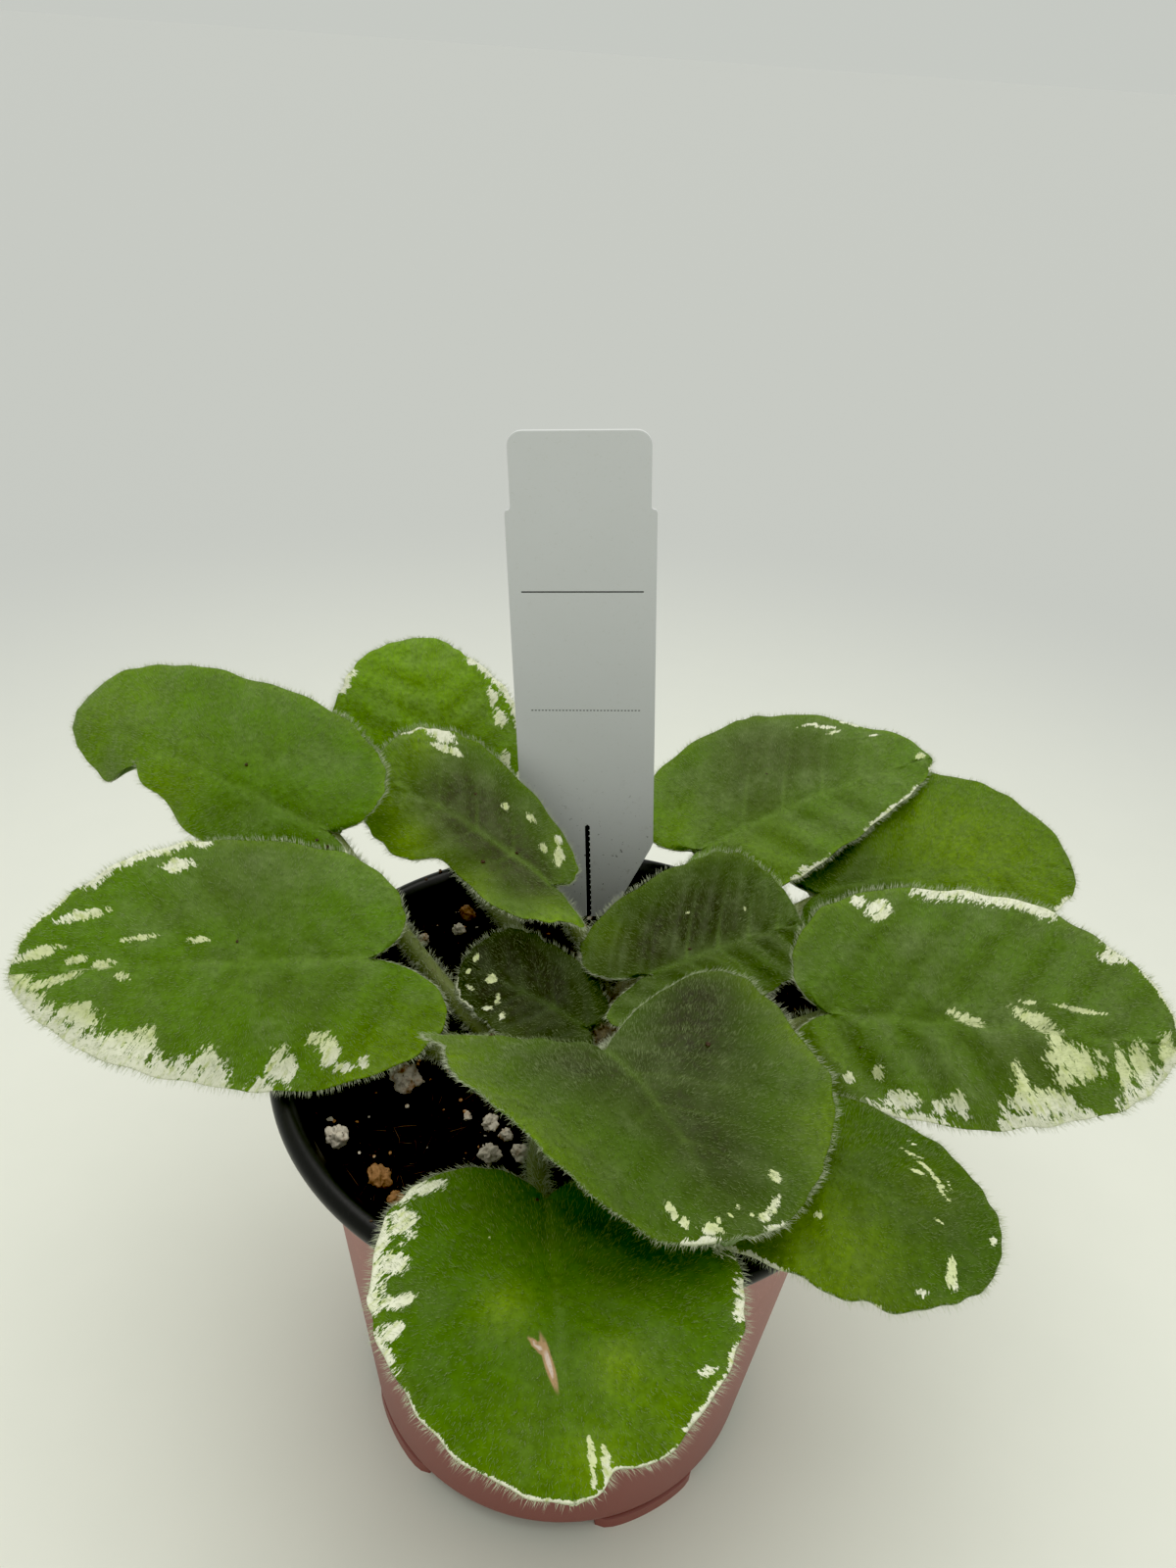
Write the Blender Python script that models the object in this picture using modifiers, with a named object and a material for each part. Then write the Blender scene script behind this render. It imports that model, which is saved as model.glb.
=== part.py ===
"""A potted african violet: a nursery pot of soil, a plant label, a crown, twelve leaf blades on
their stems, and the loose grains on the soil. Metres, +Z up, origin under the middle of the pot.
"""

import math
import random

import bmesh
import bpy
from mathutils import Matrix, Vector

MM = 0.001
GAP = 0.3 * MM  # the clearance between pieces that touch

# Pot: a thermoformed sheet with a rolled rim
POT_TOP = 92 * MM
RIM_RADIUS = 52.8 * MM
RIM_LIP = 4 * MM
COLLAR_FOOT_Z = 80 * MM
COLLAR_FOOT_RADIUS = 45.4 * MM
COLLAR_TOP_RADIUS = 49 * MM
BASE_RADIUS = 38.2 * MM
BASE_CORNER = 3 * MM
SHEET = 1 * MM
FLOOR_Z = 2.5 * MM
PAD_RADIUS = 12 * MM
POT_STEPS = 48

# Feet and drain holes under the pot
FOOT_ANGLES = (-56, 31, 124, 211)
FOOT_SPAN = 34
FOOT_RADIUS = 35 * MM
FOOT_WIDTH = 3 * MM
DRAIN_RADIUS = 3 * MM
DRAIN_RING = 23 * MM
DRAIN_COUNT = 6
DRAIN_STEPS = 12
DRAIN_CUT = 8 * MM  # longer than the floor is thick

# Soil
SOIL_TOP = 85.5 * MM

# Plant label: a stake with a narrower head and a point
LABEL_POINT = Vector((0.5, 39, 76)) * MM
LABEL_WIDTH = 25.4 * MM
LABEL_LENGTH = 107 * MM
LABEL_POINT_LENGTH = 27 * MM
LABEL_HEAD = 13 * MM
LABEL_NOTCH = 1 * MM
LABEL_CORNER = 2.5 * MM
ROUND_MIDDLE = 1 - math.cos(math.radians(45))  # how far in a round corner's middle lies
LABEL_THICKNESS = 0.6 * MM
LABEL_LEAN = math.radians(-4.5)

# Crown: the short stem that carries the leaf stems
CROWN_CENTRE = Vector((4, 2, 0)) * MM
CROWN_RADIUS = 4.5 * MM
CROWN_HEIGHT = 6 * MM
# Shares of the crown's radius and height, from its top down.
CROWN_PROFILE = ((0, 1), (0.6, 0.92), (0.95, 0.65), (1, 0.3), (0.9, 0), (0, 0))
CROWN_STEPS = 16

# Leaf blades. base is where the stem meets the blade, tip is its far end. roll turns the blade
# about the line between them, in degrees. width is each half's widest reach, left and right
# looking from base to tip with the upper side up, and widest says where, as a share of the
# length. lobe is how far each half reaches back past the base, and open how far apart the lobes
# start, as a share of the width. round is the exponent of the tip's curve. arch lifts the
# midrib, cup the edges, and twist turns the blade along its length. All lengths are in mm.
LEAVES = {
    "far_left": dict(base=(-46, 14, 119), tip=(-100, 43, 122), roll=44, width=(12, 19.5),
                     widest=(0.37, 0.28), lobe=(7.5, 6), open=0.2, round=2.1,
                     arch=5, cup=-5, twist=0),
    "left": dict(base=(-36, -4, 107), tip=(-90, -14, 107), roll=42, width=(20, 20.5),
                 widest=(0.26, 0.43), lobe=(13, 7.5), open=0.14, round=1.65,
                 arch=3, cup=-2, twist=-3),
    "back_left": dict(base=(-31, 50, 106), tip=(-39, 67, 131), roll=2, width=(20, 18),
                      widest=(0.4, 0.32), lobe=(5, 5), open=0.25, round=2.2,
                      arch=3, cup=-2, twist=1),
    "upper_left": dict(base=(-8, 18, 108), tip=(-43, 31, 120), roll=22, width=(11, 14),
                       widest=(0.3, 0.5), lobe=(8, 4), open=0.22, round=2.4,
                       arch=4, cup=-0.5, twist=-15),
    "centre_left": dict(base=(0, -2, 93.5), tip=(-22, 6, 98), roll=22, width=(8, 9.5),
                        widest=(0.3, 0.43), lobe=(4, 3.5), open=0.25, round=2.3,
                        arch=2, cup=1, twist=-6),
    "centre_right": dict(base=(11, 4, 101), tip=(38, 18, 103), roll=-22, width=(16.5, 11),
                         widest=(0.38, 0.27), lobe=(10, 11), open=0.14, round=2.2,
                         arch=2, cup=2, twist=9),
    "centre_front": dict(base=(3, -22, 108), tip=(20, -53, 107), roll=11, width=(26, 26),
                         widest=(0.39, 0.27), lobe=(9, 10), open=0.55, round=2.2,
                         arch=3, cup=5, twist=-7.5),
    "front": dict(base=(-4, -43, 100), tip=(2, -80, 95), roll=-3, width=(24.5, 23.5),
                  widest=(0.38, 0.3), lobe=(5.5, 7), open=0.25, round=1.7,
                  arch=3, cup=-2, twist=5),
    "front_right": dict(base=(26, -27, 97), tip=(57, -48, 98), roll=-3, width=(16, 17),
                        widest=(0.34, 0.28), lobe=(5.5, 5.5), open=0.25, round=2.2,
                        arch=3, cup=-3, twist=1.5),
    "right": dict(base=(39, -8, 106), tip=(94, -10, 106), roll=-42, width=(22, 15.5),
                  widest=(0.33, 0.39), lobe=(7.5, 7), open=0.14, round=1.85,
                  arch=3, cup=-2, twist=1),
    "back_right": dict(base=(21, 41, 102), tip=(67.5, 60, 115.5), roll=-21, width=(24, 14),
                       widest=(0.37, 0.22), lobe=(9.5, 8), open=0.16, round=1.45,
                       arch=3, cup=-1, twist=0),
    "far_right": dict(base=(43.5, 33.5, 99), tip=(93, 39.5, 104.5), roll=-18, width=(27, 15.5),
                      widest=(0.39, 0.29), lobe=(8.5, 5.5), open=0.24, round=2,
                      arch=3, cup=-1, twist=3),
}
BLADE_THICKNESS = 1.2 * MM
BLADE_ROWS = 14
BLADE_COLUMNS = 6
# How far the handles of a lobe's curve reach, as shares of the lobe and of the half's width.
LOBE_START = 1.45
LOBE_END = 1.35
LOBE_BULGE = 1.02
LOBE_BEND = 0.6  # how much of the arch a lobe keeps, behind the stem
TWIST_CENTRE = 0.4  # where along the blade its twist turns over
ROW_SPREAD = 1.8  # over 1, the rows lie closer together at the stem

# Leaf stems: the angle at which each leaves the crown, its height there, and the points that
# it passes on its way to the blade, in mm. Its end lies under the start of the midrib.
STEMS = {
    "far_left": dict(angle=168, height=88, via=((-15, -1, 89.5), (-25, 4, 95.5), (-36, 9.5, 107))),
    "left": dict(angle=212, height=88, via=((-14, -6, 88.5), (-26, -8, 93))),
    "back_left": dict(angle=122, height=88, via=((-14, 25, 91), (-27, 43, 93.5))),
    "upper_left": dict(angle=98, height=90.5, via=((0, 13, 98),)),
    "centre_left": dict(angle=200, height=90.5, via=()),
    "centre_right": dict(angle=20, height=90, via=((12, 4, 94),)),
    "centre_front": dict(angle=285, height=89.5, via=((5, -12, 98),)),
    "front": dict(angle=250, height=88, via=((-4, -14, 89), (-6, -30, 93))),
    "front_right": dict(angle=310, height=88, via=((14, -14, 90),)),
    "right": dict(angle=340, height=88.5, via=((18, -1, 91), (29, -5, 97))),
    "back_right": dict(angle=80, height=87.8, via=((9, 20, 90), (14, 33, 94))),
    "far_right": dict(angle=38, height=87.8, via=((20, 17, 89.5), (33, 28, 93.5))),
}
STEM_RADIUS = 1.7 * MM
STEM_END_RADIUS = 1.3 * MM
STEM_REACH = 2 * MM  # how far a stem runs on under its midrib
STEM_POINTS = 8

# Grains on the soil: place, and length of each, in mm
GRAINS = (
    (-29, -10.5, 5.6), (-37.5, -24, 4), (-29.5, -31, 4), (-26.5, -34, 3), (-14, -18.5, 3),
    (-11.5, -20.5, 2.4), (-13.5, -24.5, 4), (-9, -24, 3.4), (-18, -17, 1.6), (-24.5, 34.5, 3.2),
    (-25.5, 29.5, 3), (-32, 26, 2.6), (31, 4, 3), (20, 30, 3.4), (2, -36, 3.2), (29, -24, 3),
)


def clear_scene():
    for thing in list(bpy.data.objects):
        bpy.data.objects.remove(thing)


def collection(name, hidden=False):
    """A collection in the scene, left out of renders when it only holds cutters."""
    made = bpy.data.collections.new(name)
    made.hide_render = hidden
    bpy.context.scene.collection.children.link(made)
    return made


def material(name, colour, roughness):
    made = bpy.data.materials.new(name)
    made.use_nodes = True
    shader = made.node_tree.nodes["Principled BSDF"]
    shader.inputs["Base Color"].default_value = (*colour, 1)
    shader.inputs["Roughness"].default_value = roughness
    made.diffuse_color = (*colour, 1)
    return made


def add(name, data, home, finish=None):
    """A named object holding this mesh or curve."""
    made = bpy.data.objects.new(name, data)
    home.objects.link(made)
    if finish:
        data.materials.append(finish)
    return made


def mesh_from(name, grid):
    made = bpy.data.meshes.new(name)
    grid.to_mesh(made)
    grid.free()
    return made


def turned(name, profile, steps, home, finish=None, closed=False):
    """A profile of (radius, z) points, turned about Z. It runs down the outer side first."""
    line = bmesh.new()
    points = [line.verts.new((radius, 0, z)) for radius, z in profile]
    following = points[1:] + points[:1] if closed else points[1:]
    for first, second in zip(points, following):
        line.edges.new((first, second))
    made = add(name, mesh_from(name, line), home, finish)
    screw = made.modifiers.new("turn", "SCREW")
    screw.steps = steps
    screw.render_steps = steps
    screw.use_merge_vertices = True
    screw.merge_threshold = 0.00001
    screw.use_smooth_shade = True
    return made


def boolean(target, cutter, operation):
    step = target.modifiers.new(cutter.name, "BOOLEAN")
    step.operation = operation
    step.solver = "EXACT"
    step.object = cutter
    cutter.display_type = "WIRE"
    cutter.hide_render = True


def arc(centre, radius, start, end, count):
    """Points along a circle's arc in the (radius, z) plane, the angles in degrees."""
    angles = [math.radians(start + (end - start) * i / count) for i in range(count + 1)]
    return [(centre[0] + radius * math.cos(a), centre[1] + radius * math.sin(a)) for a in angles]


def inner_radius(z):
    """The pot's inner radius at this height."""
    foot = (BASE_RADIUS, FLOOR_Z)
    knee = (COLLAR_FOOT_RADIUS, COLLAR_FOOT_Z)
    if z <= knee[1]:
        share = (z - foot[1]) / (knee[1] - foot[1])
        return foot[0] + share * (knee[0] - foot[0]) - SHEET
    share = (z - knee[1]) / (POT_TOP - RIM_LIP - knee[1])
    return knee[0] + min(1, share) * (COLLAR_TOP_RADIUS - knee[0]) - SHEET


def build_pot(home, cutters, finish):
    """The pot's wall, collar, rim and floor as one sheet, with feet added and holes cut."""
    rim_round = RIM_LIP / 2
    lip = arc((RIM_RADIUS - rim_round, POT_TOP - rim_round), rim_round, 90, -90, 6)
    corner = (BASE_RADIUS - BASE_CORNER, FLOOR_Z + BASE_CORNER)
    outside = [
        *lip,
        (COLLAR_TOP_RADIUS, POT_TOP - RIM_LIP),
        (COLLAR_FOOT_RADIUS + SHEET, COLLAR_FOOT_Z + 2 * MM),
        (COLLAR_FOOT_RADIUS, COLLAR_FOOT_Z),
        *arc(corner, BASE_CORNER, 0, -90, 3),
        (PAD_RADIUS + FLOOR_Z, FLOOR_Z),
        (PAD_RADIUS, 0),
        (0, 0),
    ]
    inside = [
        (0, SHEET),
        (PAD_RADIUS - SHEET, SHEET),
        (PAD_RADIUS + FLOOR_Z - SHEET, FLOOR_Z + SHEET),
        (BASE_RADIUS - BASE_CORNER, FLOOR_Z + SHEET),
        (BASE_RADIUS - SHEET, FLOOR_Z + BASE_CORNER),
        (inner_radius(COLLAR_FOOT_Z), COLLAR_FOOT_Z),
        (inner_radius(POT_TOP - RIM_LIP), POT_TOP - RIM_LIP),
        (COLLAR_TOP_RADIUS, POT_TOP - SHEET),
        (COLLAR_TOP_RADIUS + SHEET, POT_TOP),
    ]
    pot = turned("pot", outside + inside, POT_STEPS, home, finish, closed=True)
    for number, angle in enumerate(FOOT_ANGLES, 1):
        boolean(pot, foot(number, angle, cutters), "UNION")
    for number in range(DRAIN_COUNT):
        turn = math.tau * number / DRAIN_COUNT
        spot = (DRAIN_RING * math.cos(turn), DRAIN_RING * math.sin(turn), FLOOR_Z)
        hole = bmesh.new()
        bmesh.ops.create_cone(hole, cap_ends=True, segments=DRAIN_STEPS, radius1=DRAIN_RADIUS,
                              radius2=DRAIN_RADIUS, depth=DRAIN_CUT,
                              matrix=Matrix.Translation(spot))
        boolean(pot, add(f"drain_{number}", mesh_from("drain", hole), cutters), "DIFFERENCE")
    return pot


def foot(number, angle, home):
    """A bar bent along the pot's round, which the pot stands on. Zero degrees faces -Y."""
    turn = math.radians(angle - 90)
    half_span = math.radians(FOOT_SPAN / 2)
    half_width = FOOT_WIDTH / 2
    height = FLOOR_Z + SHEET / 2
    bar = bmesh.new()
    bmesh.ops.create_grid(bar, x_segments=6, y_segments=1, size=1)
    for vert in bar.verts:
        along = turn + vert.co.x * half_span
        radius = FOOT_RADIUS + vert.co.y * half_width
        vert.co = (radius * math.cos(along), radius * math.sin(along), 0)
    made = add(f"foot_{number}", mesh_from("foot", bar), home)
    thick = made.modifiers.new("height", "SOLIDIFY")
    thick.thickness = height
    thick.offset = 1
    face_up(made)
    return made


def face_up(thing):
    """Makes a flat sheet's faces point up, so that Solidify grows it upwards."""
    sheet = bmesh.new()
    sheet.from_mesh(thing.data)
    sheet.normal_update()
    if sum(face.normal.z for face in sheet.faces) < 0:
        bmesh.ops.reverse_faces(sheet, faces=sheet.faces)
    sheet.to_mesh(thing.data)
    sheet.free()


def build_soil(home, cutters, finish):
    """A plug that fills the pot, with a slot where the label is pushed in."""
    floor = FLOOR_Z + SHEET + GAP
    low = floor + BASE_CORNER
    profile = [
        (0, SOIL_TOP),
        (inner_radius(SOIL_TOP) - GAP, SOIL_TOP),
        (inner_radius(COLLAR_FOOT_Z) - GAP, COLLAR_FOOT_Z),
        (inner_radius(low) - GAP, low),
        (BASE_RADIUS - BASE_CORNER - GAP, floor),
        (0, floor),
    ]
    soil = turned("soil", profile, POT_STEPS, home, finish)
    slot = add("label_slot", label_outline("label_slot", GAP), cutters)
    place_label(slot)
    boolean(soil, solid_copy(slot, cutters), "DIFFERENCE")
    return soil


def label_outline(name, grow=0):
    """The label's outline as a filled 2D curve in its own XY plane, the point at the origin."""
    half = LABEL_WIDTH / 2 + grow
    head = half - LABEL_NOTCH
    shoulder = LABEL_LENGTH - LABEL_HEAD
    slope = LABEL_POINT_LENGTH / (LABEL_WIDTH / 2)
    side = [
        (half, LABEL_POINT_LENGTH),
        (half, shoulder),
        (head, shoulder),
        (head, LABEL_LENGTH - LABEL_CORNER),
        (head - LABEL_CORNER * ROUND_MIDDLE, LABEL_LENGTH - LABEL_CORNER * ROUND_MIDDLE),
        (head - LABEL_CORNER, LABEL_LENGTH),
    ]
    outline = [(0, -grow * slope)] + side + [(-x, y) for x, y in reversed(side)]
    curve = bpy.data.curves.new(name, "CURVE")
    curve.dimensions = "2D"
    curve.fill_mode = "BOTH"
    curve.extrude = LABEL_THICKNESS / 2 + grow
    spline = curve.splines.new("POLY")
    spline.points.add(len(outline) - 1)
    for point, (x, y) in zip(spline.points, outline):
        point.co = (x, y, 0, 1)
    spline.use_cyclic_u = True
    return curve


def place_label(thing):
    stand = Matrix.Rotation(math.radians(90), 4, "X")
    lean = Matrix.Rotation(LABEL_LEAN, 4, "Y")
    thing.matrix_world = Matrix.Translation(LABEL_POINT) @ lean @ stand


def solid_copy(thing, home):
    """A closed mesh of a curve object, which a Boolean can use."""
    bpy.context.view_layer.update()
    graph = bpy.context.evaluated_depsgraph_get()
    mesh = bpy.data.meshes.new_from_object(thing.evaluated_get(graph))
    weld = bmesh.new()
    weld.from_mesh(mesh)
    bmesh.ops.remove_doubles(weld, verts=weld.verts, dist=0.00001)
    bmesh.ops.recalc_face_normals(weld, faces=weld.faces)
    weld.to_mesh(mesh)
    weld.free()
    made = add(thing.name + "_solid", mesh, home)
    made.matrix_world = thing.matrix_world
    bpy.data.objects.remove(thing)
    return made


def build_label(home, finish):
    label = add("plant_label", label_outline("plant_label"), home, finish)
    place_label(label)
    return label


def build_crown(home, finish):
    """A low stub on the soil."""
    low = SOIL_TOP + GAP
    profile = [(CROWN_RADIUS * wide, low + CROWN_HEIGHT * high) for wide, high in CROWN_PROFILE]
    crown = turned("crown", profile, CROWN_STEPS, home, finish)
    crown.location = CROWN_CENTRE
    return crown


def leaf_frame(leaf):
    """The blade's own axes: along the midrib, to the left and up, with its length."""
    base = Vector(leaf["base"]) * MM
    along = Vector(leaf["tip"]) * MM - base
    length = along.length
    along.normalize()
    left = Vector((0, 0, 1)).cross(along).normalized()
    turn = Matrix.Rotation(-math.radians(leaf["roll"]), 3, along)
    left = turn @ left
    return base, along, left, along.cross(left), length


def half_edge(leaf, side, length, share):
    """A point on one half's edge, from the base (0) round the lobe to the tip (1)."""
    width = leaf["width"][side] * MM
    widest = leaf["widest"][side] * length
    lobe = leaf["lobe"][side] * MM
    if share < 0.5:
        t = share * 2
        weights = ((1 - t) ** 3, 3 * (1 - t) ** 2 * t, 3 * (1 - t) * t**2, t**3)
        handles = (
            (0, 0),
            (-LOBE_START * lobe, leaf["open"] * width),
            (-LOBE_END * lobe, LOBE_BULGE * width),
            (widest, width),
        )
        x = sum(weight * point[0] for weight, point in zip(weights, handles))
        y = sum(weight * point[1] for weight, point in zip(weights, handles))
        return x, y
    turn = math.pi * (1 - share)
    power = 2 / leaf["round"]
    x = widest + (length - widest) * max(0, math.cos(turn)) ** power
    return x, width * math.sin(turn) ** power


def lift(leaf, x, y, length):
    """How far the blade stands off its own flat plane at this point."""
    along = x / length
    across = y / (max(leaf["width"]) * MM)
    bend = 4 * along * (1 - along)
    if along < 0:
        bend *= LOBE_BEND
    rise = leaf["arch"] * bend + leaf["cup"] * across**2
    return (rise + leaf["twist"] * (along - TWIST_CENTRE) * across) * MM


def build_blade(name, leaf, home, finish):
    """A sheet whose rows run from the midrib to the edge, thickened to a leaf."""
    base, along, left, up, length = leaf_frame(leaf)
    sheet = bmesh.new()
    bmesh.ops.create_grid(sheet, x_segments=BLADE_COLUMNS, y_segments=BLADE_ROWS, size=1)
    for vert in sheet.verts:
        across = -vert.co.x
        share = (vert.co.y + 1) / 2
        edge_x, edge_y = half_edge(leaf, 0 if across > 0 else 1, length, share)
        x = length * share**ROW_SPREAD * (1 - abs(across)) + edge_x * abs(across)
        y = edge_y * across
        vert.co = base + along * x + left * y + up * lift(leaf, x, y, length)
    bmesh.ops.remove_doubles(sheet, verts=sheet.verts, dist=0.00005)
    for face in sheet.faces:
        face.smooth = True
    blade = add(f"leaf_{name}", mesh_from(name, sheet), home, finish)
    thick = blade.modifiers.new("thickness", "SOLIDIFY")
    thick.thickness = BLADE_THICKNESS
    thick.offset = 0
    return blade


def stem_route(name):
    """The stem's middle line: out of the crown, past its points, to under the midrib."""
    stem = STEMS[name]
    leaf = LEAVES[name]
    base, along, _, up, length = leaf_frame(leaf)
    turn = math.radians(stem["angle"])
    out = Vector((math.cos(turn), math.sin(turn), 0))
    start = Vector((CROWN_CENTRE.x, CROWN_CENTRE.y, stem["height"] * MM))
    start += out * (CROWN_RADIUS + 2 * GAP)
    drop = STEM_END_RADIUS + BLADE_THICKNESS / 2 + 1.5 * GAP
    end = base + along * STEM_REACH + up * (lift(leaf, STEM_REACH, 0, length) - drop)
    return [start] + [Vector(point) * MM for point in stem["via"]] + [end]


def smooth_line(points, count):
    """Even steps along a smooth curve through these points."""
    ends = [2 * points[0] - points[1]] + points + [2 * points[-1] - points[-2]]
    made = []
    for step in range(count):
        place = step / (count - 1) * (len(points) - 1)
        span = min(int(place), len(points) - 2)
        t = place - span
        a, b, c, d = ends[span : span + 4]
        made.append(0.5 * (2 * b + (c - a) * t + (2 * a - 5 * b + 4 * c - d) * t**2
                           + (3 * b - a - 3 * c + d) * t**3))
    return made


def build_stem(name, home, finish):
    curve = bpy.data.curves.new(name, "CURVE")
    curve.dimensions = "3D"
    curve.bevel_depth = STEM_RADIUS
    curve.bevel_resolution = 1
    curve.use_fill_caps = True
    spline = curve.splines.new("POLY")
    spline.points.add(STEM_POINTS - 1)
    taper = STEM_END_RADIUS / STEM_RADIUS - 1
    for step, spot in enumerate(smooth_line(stem_route(name), STEM_POINTS)):
        spline.points[step].co = (*spot, 1)
        spline.points[step].radius = 1 + taper * step / (STEM_POINTS - 1)
    return add(f"petiole_{name}", curve, home, finish)


def build_grain(number, x, y, size, home, finish):
    """A lumpy grain that rests on the soil."""
    dice = random.Random(number)
    lump = bmesh.new()
    bmesh.ops.create_icosphere(lump, subdivisions=1, radius=size / 2 * MM)
    flat = dice.uniform(0.7, 0.9)
    for vert in lump.verts:
        vert.co *= dice.uniform(0.85, 1.1)
        vert.co.z *= flat
    lowest = min(vert.co.z for vert in lump.verts)
    grain = add(f"perlite_{number:02d}", mesh_from("grain", lump), home, finish)
    grain.location = (x * MM, y * MM, SOIL_TOP + GAP - lowest)
    return grain


def main():
    clear_scene()
    home = collection("potted_african_violet")
    cutters = collection("cutters", hidden=True)
    build_pot(home, cutters, material("pot_plastic", (0.30, 0.08, 0.06), 0.45))
    build_soil(home, cutters, material("peat", (0.02, 0.015, 0.01), 0.95))
    build_label(home, material("label_plastic", (0.75, 0.78, 0.77), 0.4))
    build_crown(home, material("crown_stem", (0.20, 0.22, 0.06), 0.7))
    green = material("leaf_green", (0.06, 0.17, 0.03), 0.6)
    pale = material("stem_green", (0.28, 0.32, 0.12), 0.6)
    for name, leaf in LEAVES.items():
        build_blade(name, leaf, home, green)
        build_stem(name, home, pale)
    grain = material("perlite", (0.65, 0.55, 0.42), 0.9)
    for number, (x, y, size) in enumerate(GRAINS, 1):
        build_grain(number, x, y, size, home, grain)


main()
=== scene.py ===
# %% [markdown]
# # A potted african violet, out of bloom
# The plant is twelve soft hairy leaves on short stems, in a small nursery pot with a blank label.
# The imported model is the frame: every piece made here takes a place that the frame already holds.
# Lengths are worked out in millimetres, because leaves are easy to think of in millimetres, and
# turned into metres when a mesh is made.

# %% Load the frame
import math

import bmesh
import bpy
import numpy as np
from mathutils import Matrix, Vector, noise


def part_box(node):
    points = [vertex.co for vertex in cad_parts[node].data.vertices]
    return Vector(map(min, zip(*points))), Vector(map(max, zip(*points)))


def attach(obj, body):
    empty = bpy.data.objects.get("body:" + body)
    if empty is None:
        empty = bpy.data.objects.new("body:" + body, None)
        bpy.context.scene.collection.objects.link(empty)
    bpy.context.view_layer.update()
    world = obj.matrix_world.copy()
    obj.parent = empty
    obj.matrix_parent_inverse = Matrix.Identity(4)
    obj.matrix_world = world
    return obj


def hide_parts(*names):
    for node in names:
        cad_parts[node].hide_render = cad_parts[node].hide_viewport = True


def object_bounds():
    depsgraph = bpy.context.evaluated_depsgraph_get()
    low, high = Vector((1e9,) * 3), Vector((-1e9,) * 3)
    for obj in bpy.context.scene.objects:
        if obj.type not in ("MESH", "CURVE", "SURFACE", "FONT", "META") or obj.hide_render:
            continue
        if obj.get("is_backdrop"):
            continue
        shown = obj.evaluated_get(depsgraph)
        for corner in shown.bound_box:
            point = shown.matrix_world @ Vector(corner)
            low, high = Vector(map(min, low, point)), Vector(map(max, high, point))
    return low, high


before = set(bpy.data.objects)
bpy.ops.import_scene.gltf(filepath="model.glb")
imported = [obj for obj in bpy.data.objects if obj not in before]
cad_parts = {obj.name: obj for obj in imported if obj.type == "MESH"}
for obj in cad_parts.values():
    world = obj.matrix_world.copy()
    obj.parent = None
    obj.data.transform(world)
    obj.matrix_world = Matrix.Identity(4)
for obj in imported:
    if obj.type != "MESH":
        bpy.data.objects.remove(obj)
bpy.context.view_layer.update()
MM = 0.001
print("frame nodes:", len(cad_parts))

# %% [markdown]
# ## Camera
# The camera stands close to the plant and looks down on it, as a person holding a phone would.
# It could be aimed with a constraint, but a tilt, a roll and a place say the same thing plainly.
# The slight roll is real: the pot's rim leans a little in the view.

# %% Camera
CAMERA_PLACE = Vector((-2.4, -149.7, 234.4)) * MM
CAMERA_TILT = 32  # degrees below level
CAMERA_ROLL = 4.15
SENSOR_WIDTH = 36
LENS_LENGTH = 27.05
camera_data = bpy.data.cameras.new("camera")
camera_data.sensor_fit = "AUTO"
camera_data.sensor_width = SENSOR_WIDTH
camera_data.lens = LENS_LENGTH
camera_data.clip_start = 10 * MM
camera = bpy.data.objects.new("camera", camera_data)
bpy.context.scene.collection.objects.link(camera)
tilt = Matrix.Rotation(math.radians(90 - CAMERA_TILT), 4, "X")
roll = Matrix.Rotation(math.radians(CAMERA_ROLL), 4, "Z")
camera.matrix_world = Matrix.Translation(CAMERA_PLACE) @ tilt @ roll
bpy.context.scene.camera = camera
print("camera height in mm:", round(CAMERA_PLACE.z / MM))

# %% [markdown]
# ## Light
# A light tent: a pale world all round gives the even fill, and one wide sun overhead gives the
# soft shadow under the leaves. A small hard lamp would draw sharp shadows that a tent never has,
# and a near lamp would leave the far floor dark.

# %% World and lamps
TENT_COLOUR = (0.95, 0.985, 0.92, 1)
TENT_STRENGTH = 0.6
DEEPEST_SHADOW = 0.012
scene = bpy.context.scene
scene.view_settings.view_transform = "Standard"
world = bpy.data.worlds.new("tent")
world.use_nodes = True
background = world.node_tree.nodes["Background"]
background.inputs["Color"].default_value = TENT_COLOUR
background.inputs["Strength"].default_value = TENT_STRENGTH
scene.world = world
# A camera crushes its deepest shadows a little.
scene.view_settings.use_curve_mapping = True
scene.view_settings.curve_mapping.black_level = (DEEPEST_SHADOW,) * 3
scene.view_settings.curve_mapping.update()


def sun(name, direction, power, spread, colour):
    """A soft sun that shines along a direction. Its spread, in degrees, softens the shadows."""
    data = bpy.data.lights.new(name, "SUN")
    data.energy = power
    data.angle = math.radians(spread)
    data.color = colour
    made = bpy.data.objects.new(name, data)
    scene.collection.objects.link(made)
    made.rotation_mode = "QUATERNION"
    made.rotation_quaternion = Vector(direction).to_track_quat("-Z", "Y")


sun("overhead", (-0.04, -0.12, -1), 1.5, 60, (1, 0.985, 0.95))

# %% [markdown]
# ## Small tools
# Most pieces are grids or bundles of hairs, so they are worked out as arrays of points and put
# into a mesh in one go. Doing it vertex by vertex would give the same mesh, far more slowly.


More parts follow.
